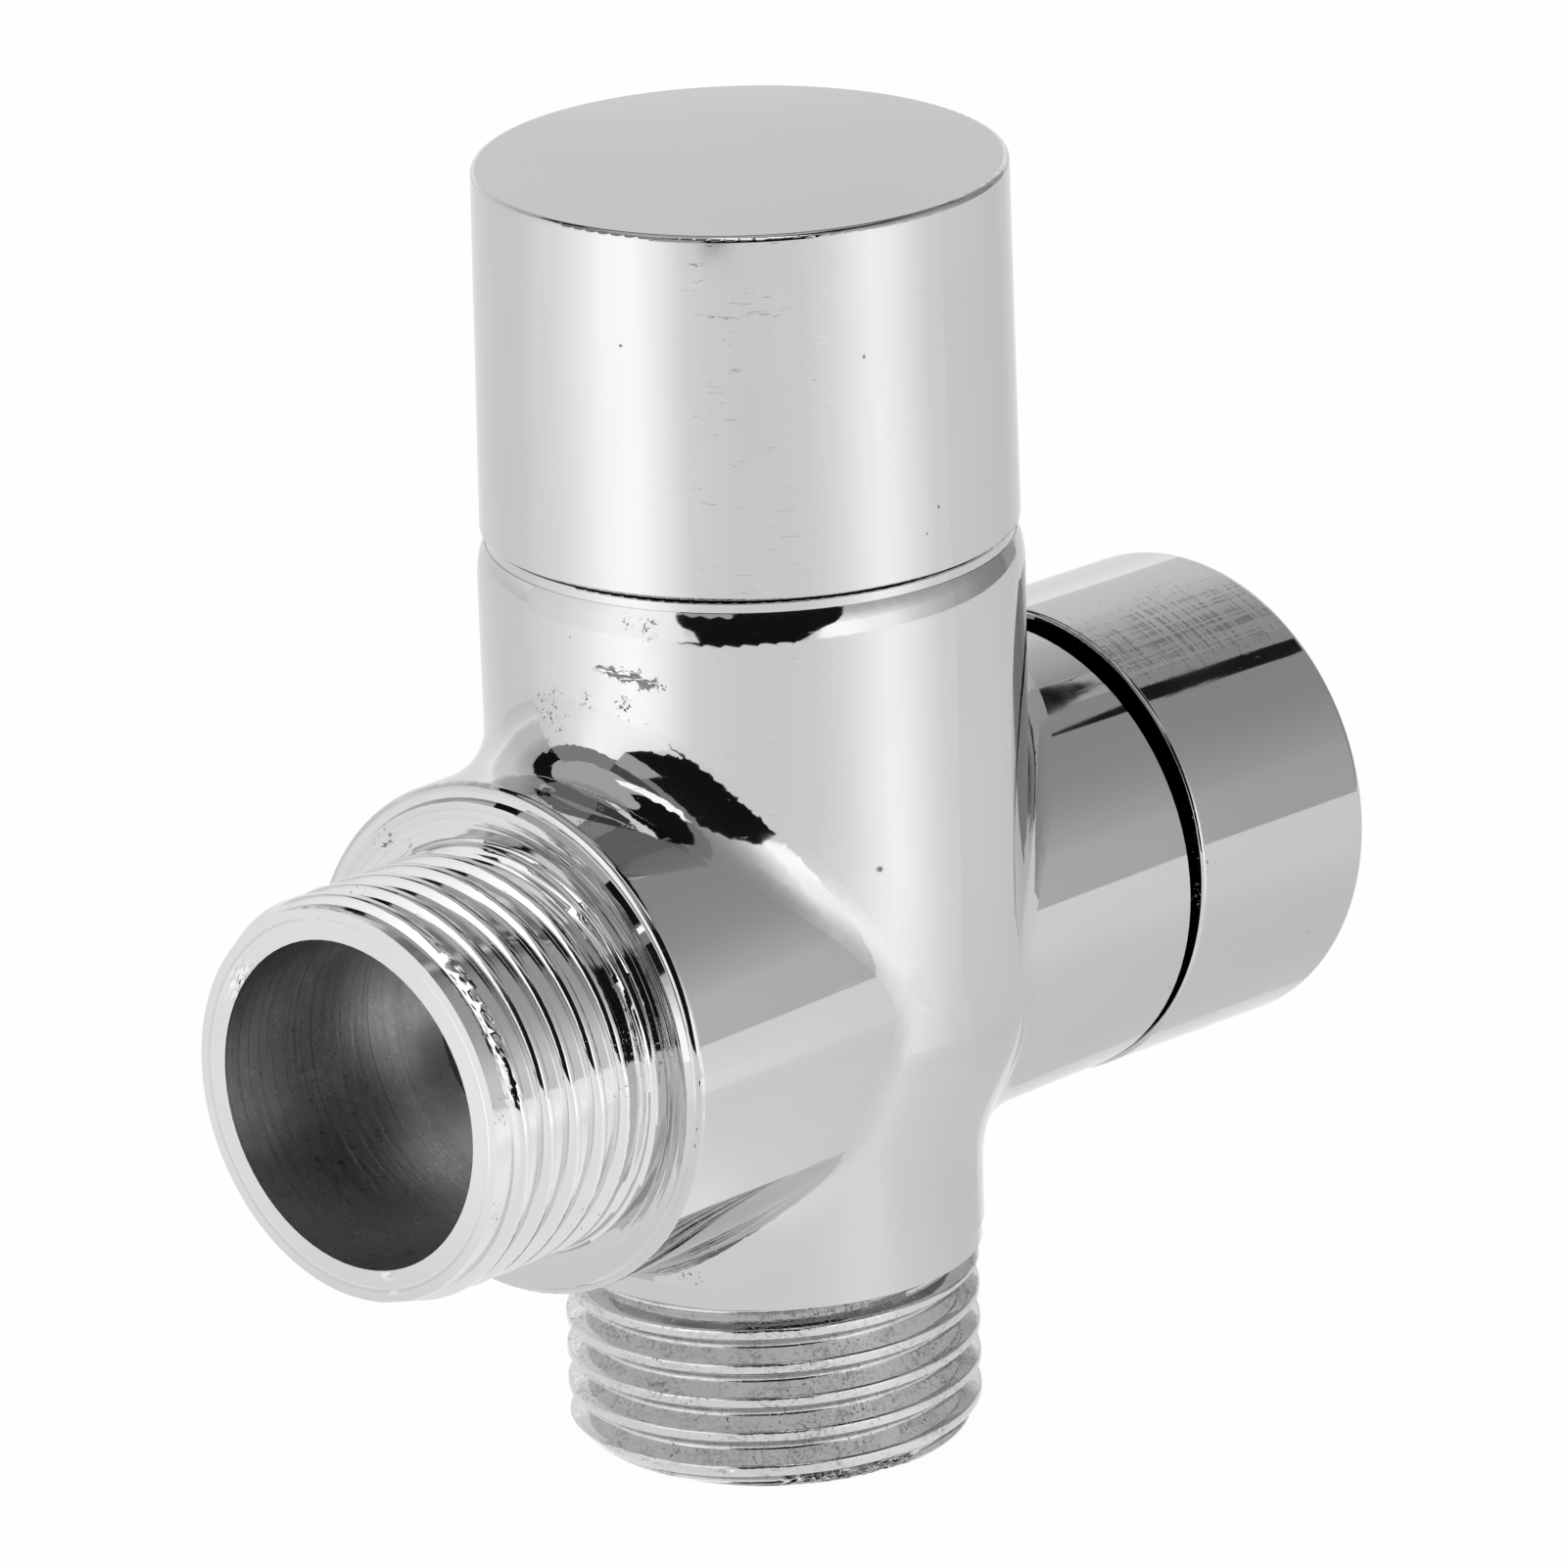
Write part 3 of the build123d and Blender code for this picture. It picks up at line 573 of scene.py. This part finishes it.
def bored():
    """The bores: dull plate with the boring tool's lines, a painted bright band of reflection at
    mid height, painted shade deeper in and a painted highlight on the lip.
    """
    net = Net("chrome_bore")
    at = net.place()
    lines = net.noise(net.scaled(at, 60, 9000, 60), 1.0, 3.0, 0.7)
    long_lines = net.noise(net.scaled(at, 260, 2600, 260), 1.0, 3.0, 0.6)
    fine = net.noise(at, 3000, 3.0, 0.6)
    parts = net.parts(at)
    # Painted reflection: the colour is brighter in a band at mid height, for light spread along the
    # tool lines.
    off_middle = net.math("ABSOLUTE", net.math("SUBTRACT", parts["Z"], RUN_HEIGHT * MM))
    uneven = net.range(net.noise(at, 320, 2.0), 0.3, 0.7, -1.2 * MM, 1.2 * MM)
    off_middle = net.math("ADD", off_middle, uneven)
    painted_reflection_band = net.range(off_middle, 1.5 * MM, 6.2 * MM, 1.0, 0.0)
    colour = net.mix(painted_reflection_band, grey(0.5), grey(0.84))
    # Painted shade deeper in the front bore and over all of the bottom bore, and a painted
    # highlight on a thin ring at the front bore's step.
    deep = net.range(parts["Y"], -17.75 * MM, -17.65 * MM)
    painted_lip_highlight = net.math("MULTIPLY", deep, net.range(parts["Y"], -17.5 * MM, -17.4 * MM, 1.0, 0.0))
    colour = net.mix(net.math("MULTIPLY", deep, 0.55), colour, grey(0.3))
    colour = net.mix(net.math("MULTIPLY", painted_lip_highlight, 0.7), colour, grey(0.9))
    colour = net.mix(net.range(lines, 0.5, 0.75), colour, grey(0.3))
    specks = net.range(net.noise(at, 5000, 2.0), 0.74, 0.78)
    colour = net.mix(specks, colour, grey(0.9))
    normal = net.bump(lines, 0.016)
    normal = net.bump(long_lines, 0.02, normal)
    normal = net.bump(fine, 0.003, normal)
    return net.shade(colour, net.range(fine, 0.3, 0.8, 0.26, 0.42), normal)


def simple(name, low, high, roughness, scale, metallic=0.0, depth=0.004):
    """A plain hidden material that still varies a little in colour, gloss and surface."""
    net = Net(name)
    at = net.place()
    broad = net.noise(at, scale, 3.0)
    fine = net.noise(at, scale * 9, 3.0, 0.6)
    colour = net.mix(net.range(broad, 0.3, 0.7), (*low, 1.0), (*high, 1.0))
    rough = net.range(fine, 0.3, 0.7, roughness * 0.8, roughness * 1.25)
    return net.shade(colour, rough, net.bump(fine, depth), metallic)


SCUFF = [
    ((2.6, -13.4, 43.95), 0.62, (1.5, 1.5, 0.5)),
    ((3.7, -13.1, 43.8), 0.72, (1.5, 1.5, 0.62)),
    ((4.7, -12.8, 43.5), 0.62, (1.4, 1.4, 0.6)),
]
BODY_SPOTS = [
    ((-1.0, -13.7, 41.4), 1.3), ((1.2, -13.6, 42.3), 0.55), ((3.4, -13.2, 42.2), 0.6),
    ((4.9, -12.7, 46.3), 0.6), ((3.7, -13.0, 46.5), 0.4), ((3.9, -10.6, 11.8), 0.6),
    ((4.4, -10.2, 11.4), 0.5), ((-7.4, -19.1, 34.6), 0.9), ((-5.8, -19.1, 34.4), 0.6),
]
BODY_DOTS = [((12.6, -4.9, 33.4), 0.2), ((0.4, -13.7, 45.3), 0.1), ((8.2, -11.0, 40.2), 0.08)]
KNOB_DOTS = [
    ((3.7, -12.8, 60.7), 0.14), ((12.5, -4.9, 59.8), 0.12), ((11.2, -7.2, 59.0), 0.12),
    ((13.4, -0.8, 51.3), 0.13), ((13.3, -1.6, 50.1), 0.13),
]

chrome_body = plated("chrome_body", spots=BODY_SPOTS, dots=BODY_DOTS, extra=scuffed)
chrome_bore = bored()
# Both threads' plating has a brighter base colour than the body's, 0.64 and 0.74 against 0.59:
# painted light for the brighter reflections on the threads.
chrome_thread = plated(
    "chrome_thread", base=0.64, pitted=1.0, wavy=2.5, gloss=(0.05, 0.16), extra=stained
)
chrome_thread_front_painted_bright = plated(
    "chrome_thread_front_painted_bright", base=0.74, pitted=0.45, wavy=1.5, gloss=(0.05, 0.17)
)
chrome_knob = plated("chrome_knob", dots=KNOB_DOTS, extra=crowned)
chrome_collar = plated("chrome_collar", pitted=0.1, extra=woven)
by_slot = {
    "chrome_plate": chrome_body,
    "brass": simple(
        "brass_turned", (0.62, 0.43, 0.17), (0.7, 0.51, 0.23), 0.28, 300, metallic=1.0
    ),
    "white_plastic": simple("acetal_white", (0.76, 0.75, 0.71), (0.82, 0.81, 0.78), 0.42, 220),
    "black_rubber": simple(
        "rubber_black", (0.014, 0.014, 0.015), (0.03, 0.03, 0.031), 0.62, 400, depth=0.01
    ),
    "disc_ceramic": simple(
        "ceramic_disc", (0.7, 0.68, 0.64), (0.79, 0.78, 0.75), 0.16, 250, depth=0.001
    ),
    "spring_steel": simple(
        "steel_spring", (0.42, 0.42, 0.43), (0.52, 0.52, 0.53), 0.24, 500, metallic=1.0
    ),
}
for entry in frame["record"]["materials"]:
    if entry.get("slot") not in by_slot:
        raise ValueError(f"no material for the slot {entry.get('slot')}")
for node in nodes.values():
    for material_slot in node.material_slots:
        material_slot.material = by_slot[material_slot.material.name]
nodes["knob"].material_slots[0].material = chrome_knob
nodes["swivel_collar"].material_slots[0].material = chrome_collar


# The cast body with its threads

front = Place((0, 0, RUN_HEIGHT), (1, 0, 0), (0, 0, 1), (0, -1, 0))
bottom = Place((0, 0, 0), (1, 0, 0), (0, -1, 0), (0, 0, -1))

# Which of the dressed body's materials a triangle has; all others have the first.
BORE_KIND, BOTTOM_KIND, FRONT_KIND = 1, 2, 3

# Worn places of the threads: angle in degrees, distance along, width, length and depth.
FRONT_CHIPS = [
    (52, 28.75, 1.3, 0.22, 0.16), (41, 28.7, 1.4, 0.2, 0.14), (29, 28.75, 1.2, 0.2, 0.12),
    (14, 28.7, 0.6, 0.2, 0.06), (100, 29.9, 1.6, 0.2, 0.1), (286, 29.9, 0.4, 0.2, 0.1),
]
BOTTOM_CHIPS = [
    (8, -0.15, 1.2, 0.35, 0.35), (16, -0.1, 1.3, 0.3, 0.35), (26, -0.1, 1.6, 0.3, 0.3),
    (40, -0.1, 0.9, 0.2, 0.2), (62, -1.0, 0.35, 0.2, 0.16), (86, -0.95, 1.0, 0.16, 0.12),
    (96, -0.95, 0.5, 0.14, 0.12),
]


def thread_height(phase, tip, relief, chips):
    """The radius of a threaded spigot by angle and distance, with its chamfer and worn places."""

    def height(angle, s):
        r = CREST_RADIUS - thread_depth(s - phase - PITCH * angle / TURN)
        r = soft_min(r, FACE_RADIUS + (tip - s) * (CREST_RADIUS - FACE_RADIUS) / CHAMFER, 0.05)
        r = relief(r, s)
        crest = smooth(CREST_RADIUS - 0.3, CREST_RADIUS, r)
        r = r - crest * 0.008 * np.abs(wobble(angle * 9, s * 2.1, 1.3))
        for middle, along, wide, long, deep in chips:
            spot = bell(turned(angle, middle) * CREST_RADIUS, wide) * bell(s - along, long)
            torn = wobble(angle * 38, s * 11, middle)
            r = r - deep * spot * np.clip(0.45 + 0.75 * torn, 0, 1)
        return r

    return height


def front_relief(r, s):
    """The relief behind the front thread: two low steps that curve up into the shoulder's face."""
    fillet = 0.42
    past = s - SHOULDER_FACE
    r = soft_min(r, 10.02 + np.maximum(past - 0.75, 0) * FLANK_SLOPE, 0.1)
    inside = np.clip(fillet - past, 0, 0.4)
    curve = fillet - np.sqrt(np.maximum(fillet**2 - inside**2, 0))
    step = 0.38 * (1 - smooth(fillet, 0.62, past))
    return np.maximum(r, 10.0 + step + curve)


def bottom_relief(r, s):
    """The relief under the neck's band."""
    past = s - BOTTOM_ROOT
    return soft_min(r, 9.75 + np.maximum(past - 0.62, 0) * FLANK_SLOPE, 0.1)


def shoulder_rings(angle, radius):
    """The shoulder's face falls away towards its rim, with shallow rings left by the tool."""
    rounded = 0.8 * np.clip((radius - 11.35) / 1.05, 0, 1) ** 2
    fall = SHOULDER_STEP * (1 - smooth(11.2, 12.4, radius) * 0.2 - rounded)
    fade = smooth(10.9, 11.1, radius) * (1 - smooth(12.2, 12.38, radius))
    rings = 0.0042 * np.sin(radius * TURN / 0.46 + 0.6) + 0.0016 * np.sin(radius * TURN / 0.21)
    return fall + fade * rings


def burr(angle, radius):
    """The front's end face: a fine ridge at its outer edge, torn plating at its inner one."""
    torn = 0.2 * bell(turned(angle, 146) * 8.6, 1.0) * bell(radius - 8.5, 0.5)
    torn = torn * (0.6 + 0.4 * wobble(angle * 41, radius * 5, 2.0))
    nick = 0.1 * bell(turned(angle, 286) * 8.6, 0.3) * bell(radius - 8.5, 0.22)
    ridge = 0.02 * bell(radius - 9.42, 0.05)
    return ridge - 0.02 * smooth(9.55, 9.45, radius) - torn - nick


def level_face(angle, radius):
    return 0 * radius


def on_spigot(corners):
    """The CAD triangles of both spigots' outsides and end faces, and of the shoulder's face."""
    found = False
    for place, root in ((front, FRONT_ROOT), (bottom, BOTTOM_ROOT)):
        _, r, s = place.read(corners)
        past_root = (s > root - 0.005).all(-1) & (r > BORE_RADIUS - 0.01).all(-1)
        bore = (abs(r - BORE_RADIUS) < 0.01).all(-1) & (np.ptp(s, axis=-1) > 0.01)
        found = found | (past_root & ~bore)
    return found


def dressed_body():
    """Both spigots' skins give way to threaded ones. The rest of the casting stays."""
    shell = Shell(nodes["valve_body"], on_spigot)

    height = thread_height(FRONT_PHASE, FRONT_TIP, front_relief, FRONT_CHIPS)
    angle, root_ids, tip_ids = helix_strip(
        shell, front, height, SHOULDER_FACE, FRONT_TIP, kind=FRONT_KIND
    )
    ids = flat_rows(
        shell, front, angle, root_ids, height(angle, SHOULDER_FACE), SHOULDER_EDGE, FRONT_ROOT,
        44, shoulder_rings,
    )
    shell.join(front, ids, angle, SHOULDER_RADIUS, FRONT_ROOT)
    ids = flat_rows(
        shell, front, angle, tip_ids, height(angle, FRONT_TIP), INNER_EDGE, FRONT_TIP, 14, burr
    )
    shell.join(front, ids, angle, BORE_RADIUS, FRONT_TIP)

    height = thread_height(BOTTOM_PHASE, BOTTOM_TIP, bottom_relief, BOTTOM_CHIPS)
    angle, root_ids, tip_ids = helix_strip(
        shell, bottom, height, BOTTOM_ROOT, BOTTOM_TIP, kind=BOTTOM_KIND
    )
    shell.join(bottom, root_ids, angle, NECK_BAND_RADIUS, BOTTOM_ROOT)
    ids = flat_rows(
        shell, bottom, angle, tip_ids, height(angle, BOTTOM_TIP), INNER_EDGE, BOTTOM_TIP,
        6, level_face,
    )
    shell.join(bottom, ids, angle, BORE_RADIUS, BOTTOM_TIP)

    corners = shell.points[0][shell.tri[0]]
    for place, deepest in ((front, 5), (bottom, -40)):
        _, r, s = place.read(corners)
        bore = (r < BORE_RADIUS + 0.01).all(-1) & (s > deepest).all(-1)
        shell.kinds[0][bore] = BORE_KIND
    materials = [chrome_body, chrome_bore, chrome_thread, chrome_thread_front_painted_bright]
    return shell.build("valve_body_dressed", materials)


body = dressed_body()
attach(body, "body")
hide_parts("valve_body")


# The swivel collar with its inside thread

collar_place = Place(
    (0, 19.75, 25.65),
    (1, 0, 0),
    (0, -math.sin(DROOP), -math.cos(DROOP)),
    (0, math.cos(DROOP), -math.sin(DROOP)),
)


def in_collar(corners):
    """The CAD triangles of the collar's plain inside, where the thread goes."""
    _, r, s = collar_place.read(corners)
    between = (s > COLLAR_START - 0.02) & (s < COLLAR_END + 0.02)
    return (abs(r - MINOR_RADIUS) < 0.02).all(-1) & between.all(-1)


def collar_height(angle, s):
    """The inside thread: grooves cut outwards from the minor radius, fading at both ends."""
    cut = CREST_RADIUS - MINOR_RADIUS - thread_depth(s - PITCH * angle / TURN)
    fade = smooth(COLLAR_START, COLLAR_START + COLLAR_FADE, s)
    fade = fade * (1 - smooth(COLLAR_END - COLLAR_FADE, COLLAR_END, s))
    return MINOR_RADIUS + np.maximum(cut, 0) * 0.93 * fade


def round_front_edge(shell):
    """Shades the narrow chamfer around the collar's front as the worn round that it is."""
    angle, r, s = collar_place.read(shell.points[0][shell.tri[0]])
    outer = (r > COLLAR_RADIUS - COLLAR_EDGE - 0.03).all(-1)
    edge = (s < COLLAR_EDGE + 0.02).all(-1) & outer
    on_face = s[edge] < COLLAR_EDGE / 2
    outward, forward = np.where(on_face, 0.35, 1.0), np.where(on_face, -1.0, -0.05)
    shell.normals[0][edge] = collar_place.direction(angle[edge], outward, 0.0, forward)


def dressed_collar():
    shell = Shell(nodes["swivel_collar"], in_collar)
    round_front_edge(shell)
    angle, low_ids, high_ids = helix_strip(
        shell, collar_place, collar_height, COLLAR_START, COLLAR_END, inward=True
    )
    shell.join(collar_place, low_ids, angle, MINOR_RADIUS, COLLAR_START, forward=-1.0)
    shell.join(collar_place, high_ids, angle, MINOR_RADIUS, COLLAR_END)
    return shell.build("swivel_collar_dressed", [chrome_collar])


collar = dressed_collar()
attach(collar, "collar")
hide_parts("swivel_collar")


# The studio: a pale floor, cards and soft lights around the piece. Its angles are in degrees,
# its lengths in metres and its grey levels, as seen in the plating, of 255.

CENTRE = Vector((0, 0, RUN_HEIGHT * MM))


def toward(azimuth, elevation):
    """The direction of an azimuth and elevation, in radians."""
    flat = math.cos(elevation)
    return Vector((math.sin(azimuth) * flat, -math.cos(azimuth) * flat, math.sin(elevation)))


def new_piece(name, points, faces, material):
    mesh = bpy.data.meshes.new(name)
    mesh.from_pydata(points, [], faces)
    mesh.materials.append(material)
    piece = bpy.data.objects.new(name, mesh)
    bpy.context.scene.collection.objects.link(piece)
    return piece


def hang(name, points, faces, material):
    """A card of the studio, seen only in the plating."""
    piece = new_piece(name, points, faces, material)
    for flag in ("camera", "diffuse", "shadow", "transmission", "volume_scatter"):
        setattr(piece, "visible_" + flag, False)


def sheet(columns, rows):
    """The faces of a grid of points that is given row by row."""
    return [
        (i * columns + j, i * columns + j + 1, (i + 1) * columns + j + 1, (i + 1) * columns + j)
        for i in range(rows - 1) for j in range(columns - 1)
    ]


def square(half, height):
    """The points and the face of a level square."""
    signs = ((-1, -1), (1, -1), (1, 1), (-1, 1))
    return [(x * half, y * half, height) for x, y in signs], [(0, 1, 2, 3)]


def glowing(name, levels, fades=None, far_level=None):
    """A card's own brightness: one grey level, or levels by azimuth that may fade by elevation."""
    net = Net(name)
    if isinstance(levels, int):
        return net.done(net.glow(shown(levels)))
    parts = net.parts(net.add("ShaderNodeNewGeometry").outputs["Position"])
    x, y, z = parts["X"], parts["Y"], parts["Z"]
    strength = net.curve(net.bearing(x, y), shown_at(levels))
    if fades:
        away = net.math("SQRT", net.squares(x, y))
        rise = net.math("ARCTAN2", net.math("SUBTRACT", z, CENTRE.z), away)
        fade = net.curve(net.math("MULTIPLY", rise, math.degrees(1)), fades)
        far = shown(far_level) if far_level else 0.0
        strength = net.math("MULTIPLY_ADD", net.math("SUBTRACT", strength, far), fade, far)
    return net.done(net.glow(strength))


def edged_card(name, rows, distance, material):
    """An upright curved card, from rows of (left azimuth, right azimuth, elevation)."""
    columns = max(2, int(abs(rows[0][1] - rows[0][0]) / 3)) + 1
    points = []
    for left, right, elevation in rows:
        height = CENTRE.z + distance * math.tan(math.radians(elevation))
        for a in np.linspace(math.radians(left), math.radians(right), columns):
            points.append((math.sin(a) * distance, -math.cos(a) * distance, height))
    hang(name, points, sheet(columns, len(rows)), material)


def card(name, azimuths, elevations, distance, levels, fades=None, far_level=None):
    """An upright curved card between two azimuths and two elevations."""
    rows = [(*azimuths, elevation) for elevation in elevations]
    edged_card(name, rows, distance, glowing(name, levels, fades, far_level))


LEFT_LEVELS = [
    (-62, 198), (-54, 204), (-48, 207), (-42, 210), (-36, 216), (-30, 221), (-24, 230),
    (-18, 239), (-8, 244), (0, 240), (6, 236), (15, 226),
]
RIGHT_LEVELS = [
    (67, 200), (71, 245), (76, 252), (83, 250), (90, 241), (102, 234), (108, 216), (114, 201),
    (120, 189), (126, 179), (138, 159), (150, 136), (162, 127), (173, 120),
]
RIGHT_FADES = [
    (-5, 1.0), (10, 1.0), (14, 0.78), (18, 0.65), (22, 0.48), (26, 0.33), (30, 0.21),
    (38, 0.1), (46, 0.0),
]
SWEEP_LEVELS = [(-172, 172), (-160, 190), (-138, 196), (-114, 202), (-90, 191), (-60, 193)]
SWEEP_FADES = [
    (-3, 0.93), (6, 1.0), (10, 1.08), (13.5, 1.2), (16.3, 1.0), (19, 0.9), (30, 0.9),
    (38, 0.7), (43, 0.64), (46, 0.55),
]
OPENING_ROWS = [(21, 62, -5), (20, 66, 2), (19, 71, 8), (14, 77, 14), (11, 81, 24), (9, 83, 31)]
LAMP_ROWS = [(66, 86, 48), (54, 78, 53), (42, 66, 59), (30, 54, 66), (24, 42, 71)]

card("left_light", (-62, 15), (-4.8, 45), 0.30, LEFT_LEVELS)
edged_card("black_opening", OPENING_ROWS, 0.285, glowing("black_opening", 17))
card("black_opening_right", (34, 84), (31, 43), 0.286, 20)
card("over_opening", (9, 34), (31, 50), 0.287, 150)
card("over_opening_right", (34, 84), (43, 50), 0.287, 118)
card("over_opening_top", (9, 84), (50, 62), 0.287, 70)
edged_card("lamp_strip", LAMP_ROWS, 0.27, glowing("lamp_strip", 249))
card("dark_upper", (62, 152), (52, 80), 0.28, 16)
card("right_wall", (67, 173), (-4.6, 46), 0.31, RIGHT_LEVELS, RIGHT_FADES, 131)
card("back_wall", (-187, -172), (-4.6, 43.4), 0.31, 140)
card("wall_gap", (160.9, 167.2), (36, 41.7), 0.303, 24)
card("wall_gap_top", (170.5, 187), (44.0, 47.5), 0.303, 12)
card("left_sweep", (-172, -60), (-2.8, 46), 0.50, SWEEP_LEVELS, SWEEP_FADES)
card("left_upper_gap", (-171, -62), (46, 62), 0.55, 15)
card("left_upper", (-62, 15), (45, 62), 0.31, 120)
card("right_upper", (67, 189), (46, 62), 0.32, 112)
hang("ceiling", *square(2, CENTRE.z + 0.9), glowing("ceiling", 157))


def table_edge():
    """The dark room past the table's front edge, low over the floor."""
    points = []
    for degrees in range(12, 64, 4):
        a = math.radians(degrees)
        for distance in (0.246 + 0.00012 * (degrees - 30) ** 2, 0.32):
            points.append((math.sin(a) * distance, -math.cos(a) * distance, 0.0006))
    hang("table_edge", points, sheet(2, len(points) // 2), glowing("table_edge", 20))


table_edge()

# Painted light and shade on the floor, seen only in the plating: grey levels by bearing in degrees,
# near the piece and farther out.
NEAR_FLOOR_PAINTED_LIGHT = [
    (-180, 192), (-140, 200), (60, 202), (84, 212), (96, 212), (110, 203), (150, 190), (180, 180),
]
FAR_FLOOR_PAINTED_LIGHT = [
    (-180, 184), (-126, 190), (-78, 195), (-66, 198), (-54, 208), (-42, 215), (-30, 228),
    (-18, 245), (-8, 250), (-2, 247), (6, 235), (18, 209), (30, 203), (42, 200), (54, 201),
    (66, 203), (78, 214), (84, 222), (90, 232), (99, 241), (106, 236), (114, 225), (126, 207),
    (138, 200), (150, 197), (162, 193), (180, 184),
]


def floor_material():
    """White to the camera with a trace of the piece's shadow; the plating sees painted light on it,
    with brighter pools towards the two lamps and painted shade behind the piece.
    """
    net = Net("floor_white")
    at = net.add("ShaderNodeNewGeometry").outputs["Position"]
    parts = net.parts(at)
    bearing = net.bearing(parts["X"], parts["Y"])
    close = net.curve(bearing, shown_at(NEAR_FLOOR_PAINTED_LIGHT))
    away = net.curve(bearing, shown_at(FAR_FLOOR_PAINTED_LIGHT))
    distance = net.add("ShaderNodeVectorMath", {0: at}, operation="LENGTH").outputs["Value"]
    change = net.math("SUBTRACT", away, close)
    strength = net.math("MULTIPLY_ADD", change, net.range(distance, 0.05, 0.10), close)
    uneven = net.range(net.noise(at, 30, 2.0), 0.3, 0.7, 0.99, 1.01)
    painted_floor_light = net.glow(net.math("MULTIPLY", strength, uneven))
    lit = net.add("ShaderNodeBsdfDiffuse", {"Color": grey(0.86)})
    rays = net.add("ShaderNodeLightPath").outputs
    direct = net.blend(rays["Is Camera Ray"], lit, net.blend(0.97, lit, net.glow(1.0)))
    by_mirror = net.math("MAXIMUM", rays["Is Glossy Ray"], rays["Is Transmission Ray"])
    return net.done(net.blend(by_mirror, direct, painted_floor_light))


floor = new_piece("floor", *square(6.0, 0), floor_material())


def studio_world():
    """White to the camera and in mirrors, and dimmer where it lights dull surfaces."""
    net = Net("studio", bpy.data.worlds, "ShaderNodeOutputWorld")
    rays = net.add("ShaderNodeLightPath").outputs
    by_mirror = net.math("MAXIMUM", rays["Is Glossy Ray"], rays["Is Transmission Ray"])
    seen = net.math("MAXIMUM", rays["Is Camera Ray"], by_mirror)
    white = net.add("ShaderNodeBackground", {"Color": grey(1.0), "Strength": 1.0})
    ambient = net.add("ShaderNodeBackground", {"Color": grey(1.0), "Strength": 0.6})
    return net.done(net.blend(seen, ambient, white))


bpy.context.scene.world = studio_world()


def soft_lamp(name, azimuth, brightness, elevation=50, distance=1.2, size=0.8):
    """A square lamp that faces the piece and isn't seen in the plating."""
    lamp = bpy.data.lights.new(name, "AREA")
    lamp.shape = "SQUARE"
    lamp.size = size
    lamp.energy = math.pi * size * size * brightness
    piece = bpy.data.objects.new(name, lamp)
    where = toward(math.radians(azimuth), math.radians(elevation)) * distance
    piece.location = where
    piece.rotation_euler = where.to_track_quat("Z", "Y").to_euler()
    piece.visible_glossy = False
    bpy.context.scene.collection.objects.link(piece)


soft_lamp("lamp_left", -20, 1.6)
soft_lamp("lamp_right", 95, 1.2)


# The camera, as fitted to the photo: lengths in metres, the focal length in the photo's pixels

AZIMUTH, ELEVATION, ROLL = (math.radians(v) for v in (42.878, 18.762, -1.642))
DISTANCE, SHIFT_RIGHT, SHIFT_UP = 0.7690, 0.001081, 0.008048
FOCAL, PHOTO_WIDTH = 20.349 * 769.0, 1601
SENSOR = 36.0

back = toward(AZIMUTH, ELEVATION)
level = Vector((math.cos(AZIMUTH), math.sin(AZIMUTH), 0))
upward = back.cross(level)
across = level * math.cos(ROLL) + upward * math.sin(ROLL)
upright = upward * math.cos(ROLL) - level * math.sin(ROLL)
stand = back * DISTANCE + across * SHIFT_RIGHT + upright * SHIFT_UP + CENTRE

lens = bpy.data.cameras.new("camera")
lens.sensor_width = SENSOR
lens.lens = FOCAL / PHOTO_WIDTH * SENSOR
lens.clip_start = 0.01
lens.clip_end = 20
camera = bpy.data.objects.new("camera", lens)
camera.matrix_world = Matrix((
    (across.x, upright.x, back.x, stand.x),
    (across.y, upright.y, back.y, stand.y),
    (across.z, upright.z, back.z, stand.z),
    (0, 0, 0, 1),
))
bpy.context.scene.collection.objects.link(camera)
bpy.context.scene.camera = camera
bpy.context.scene.view_settings.view_transform = "Standard"
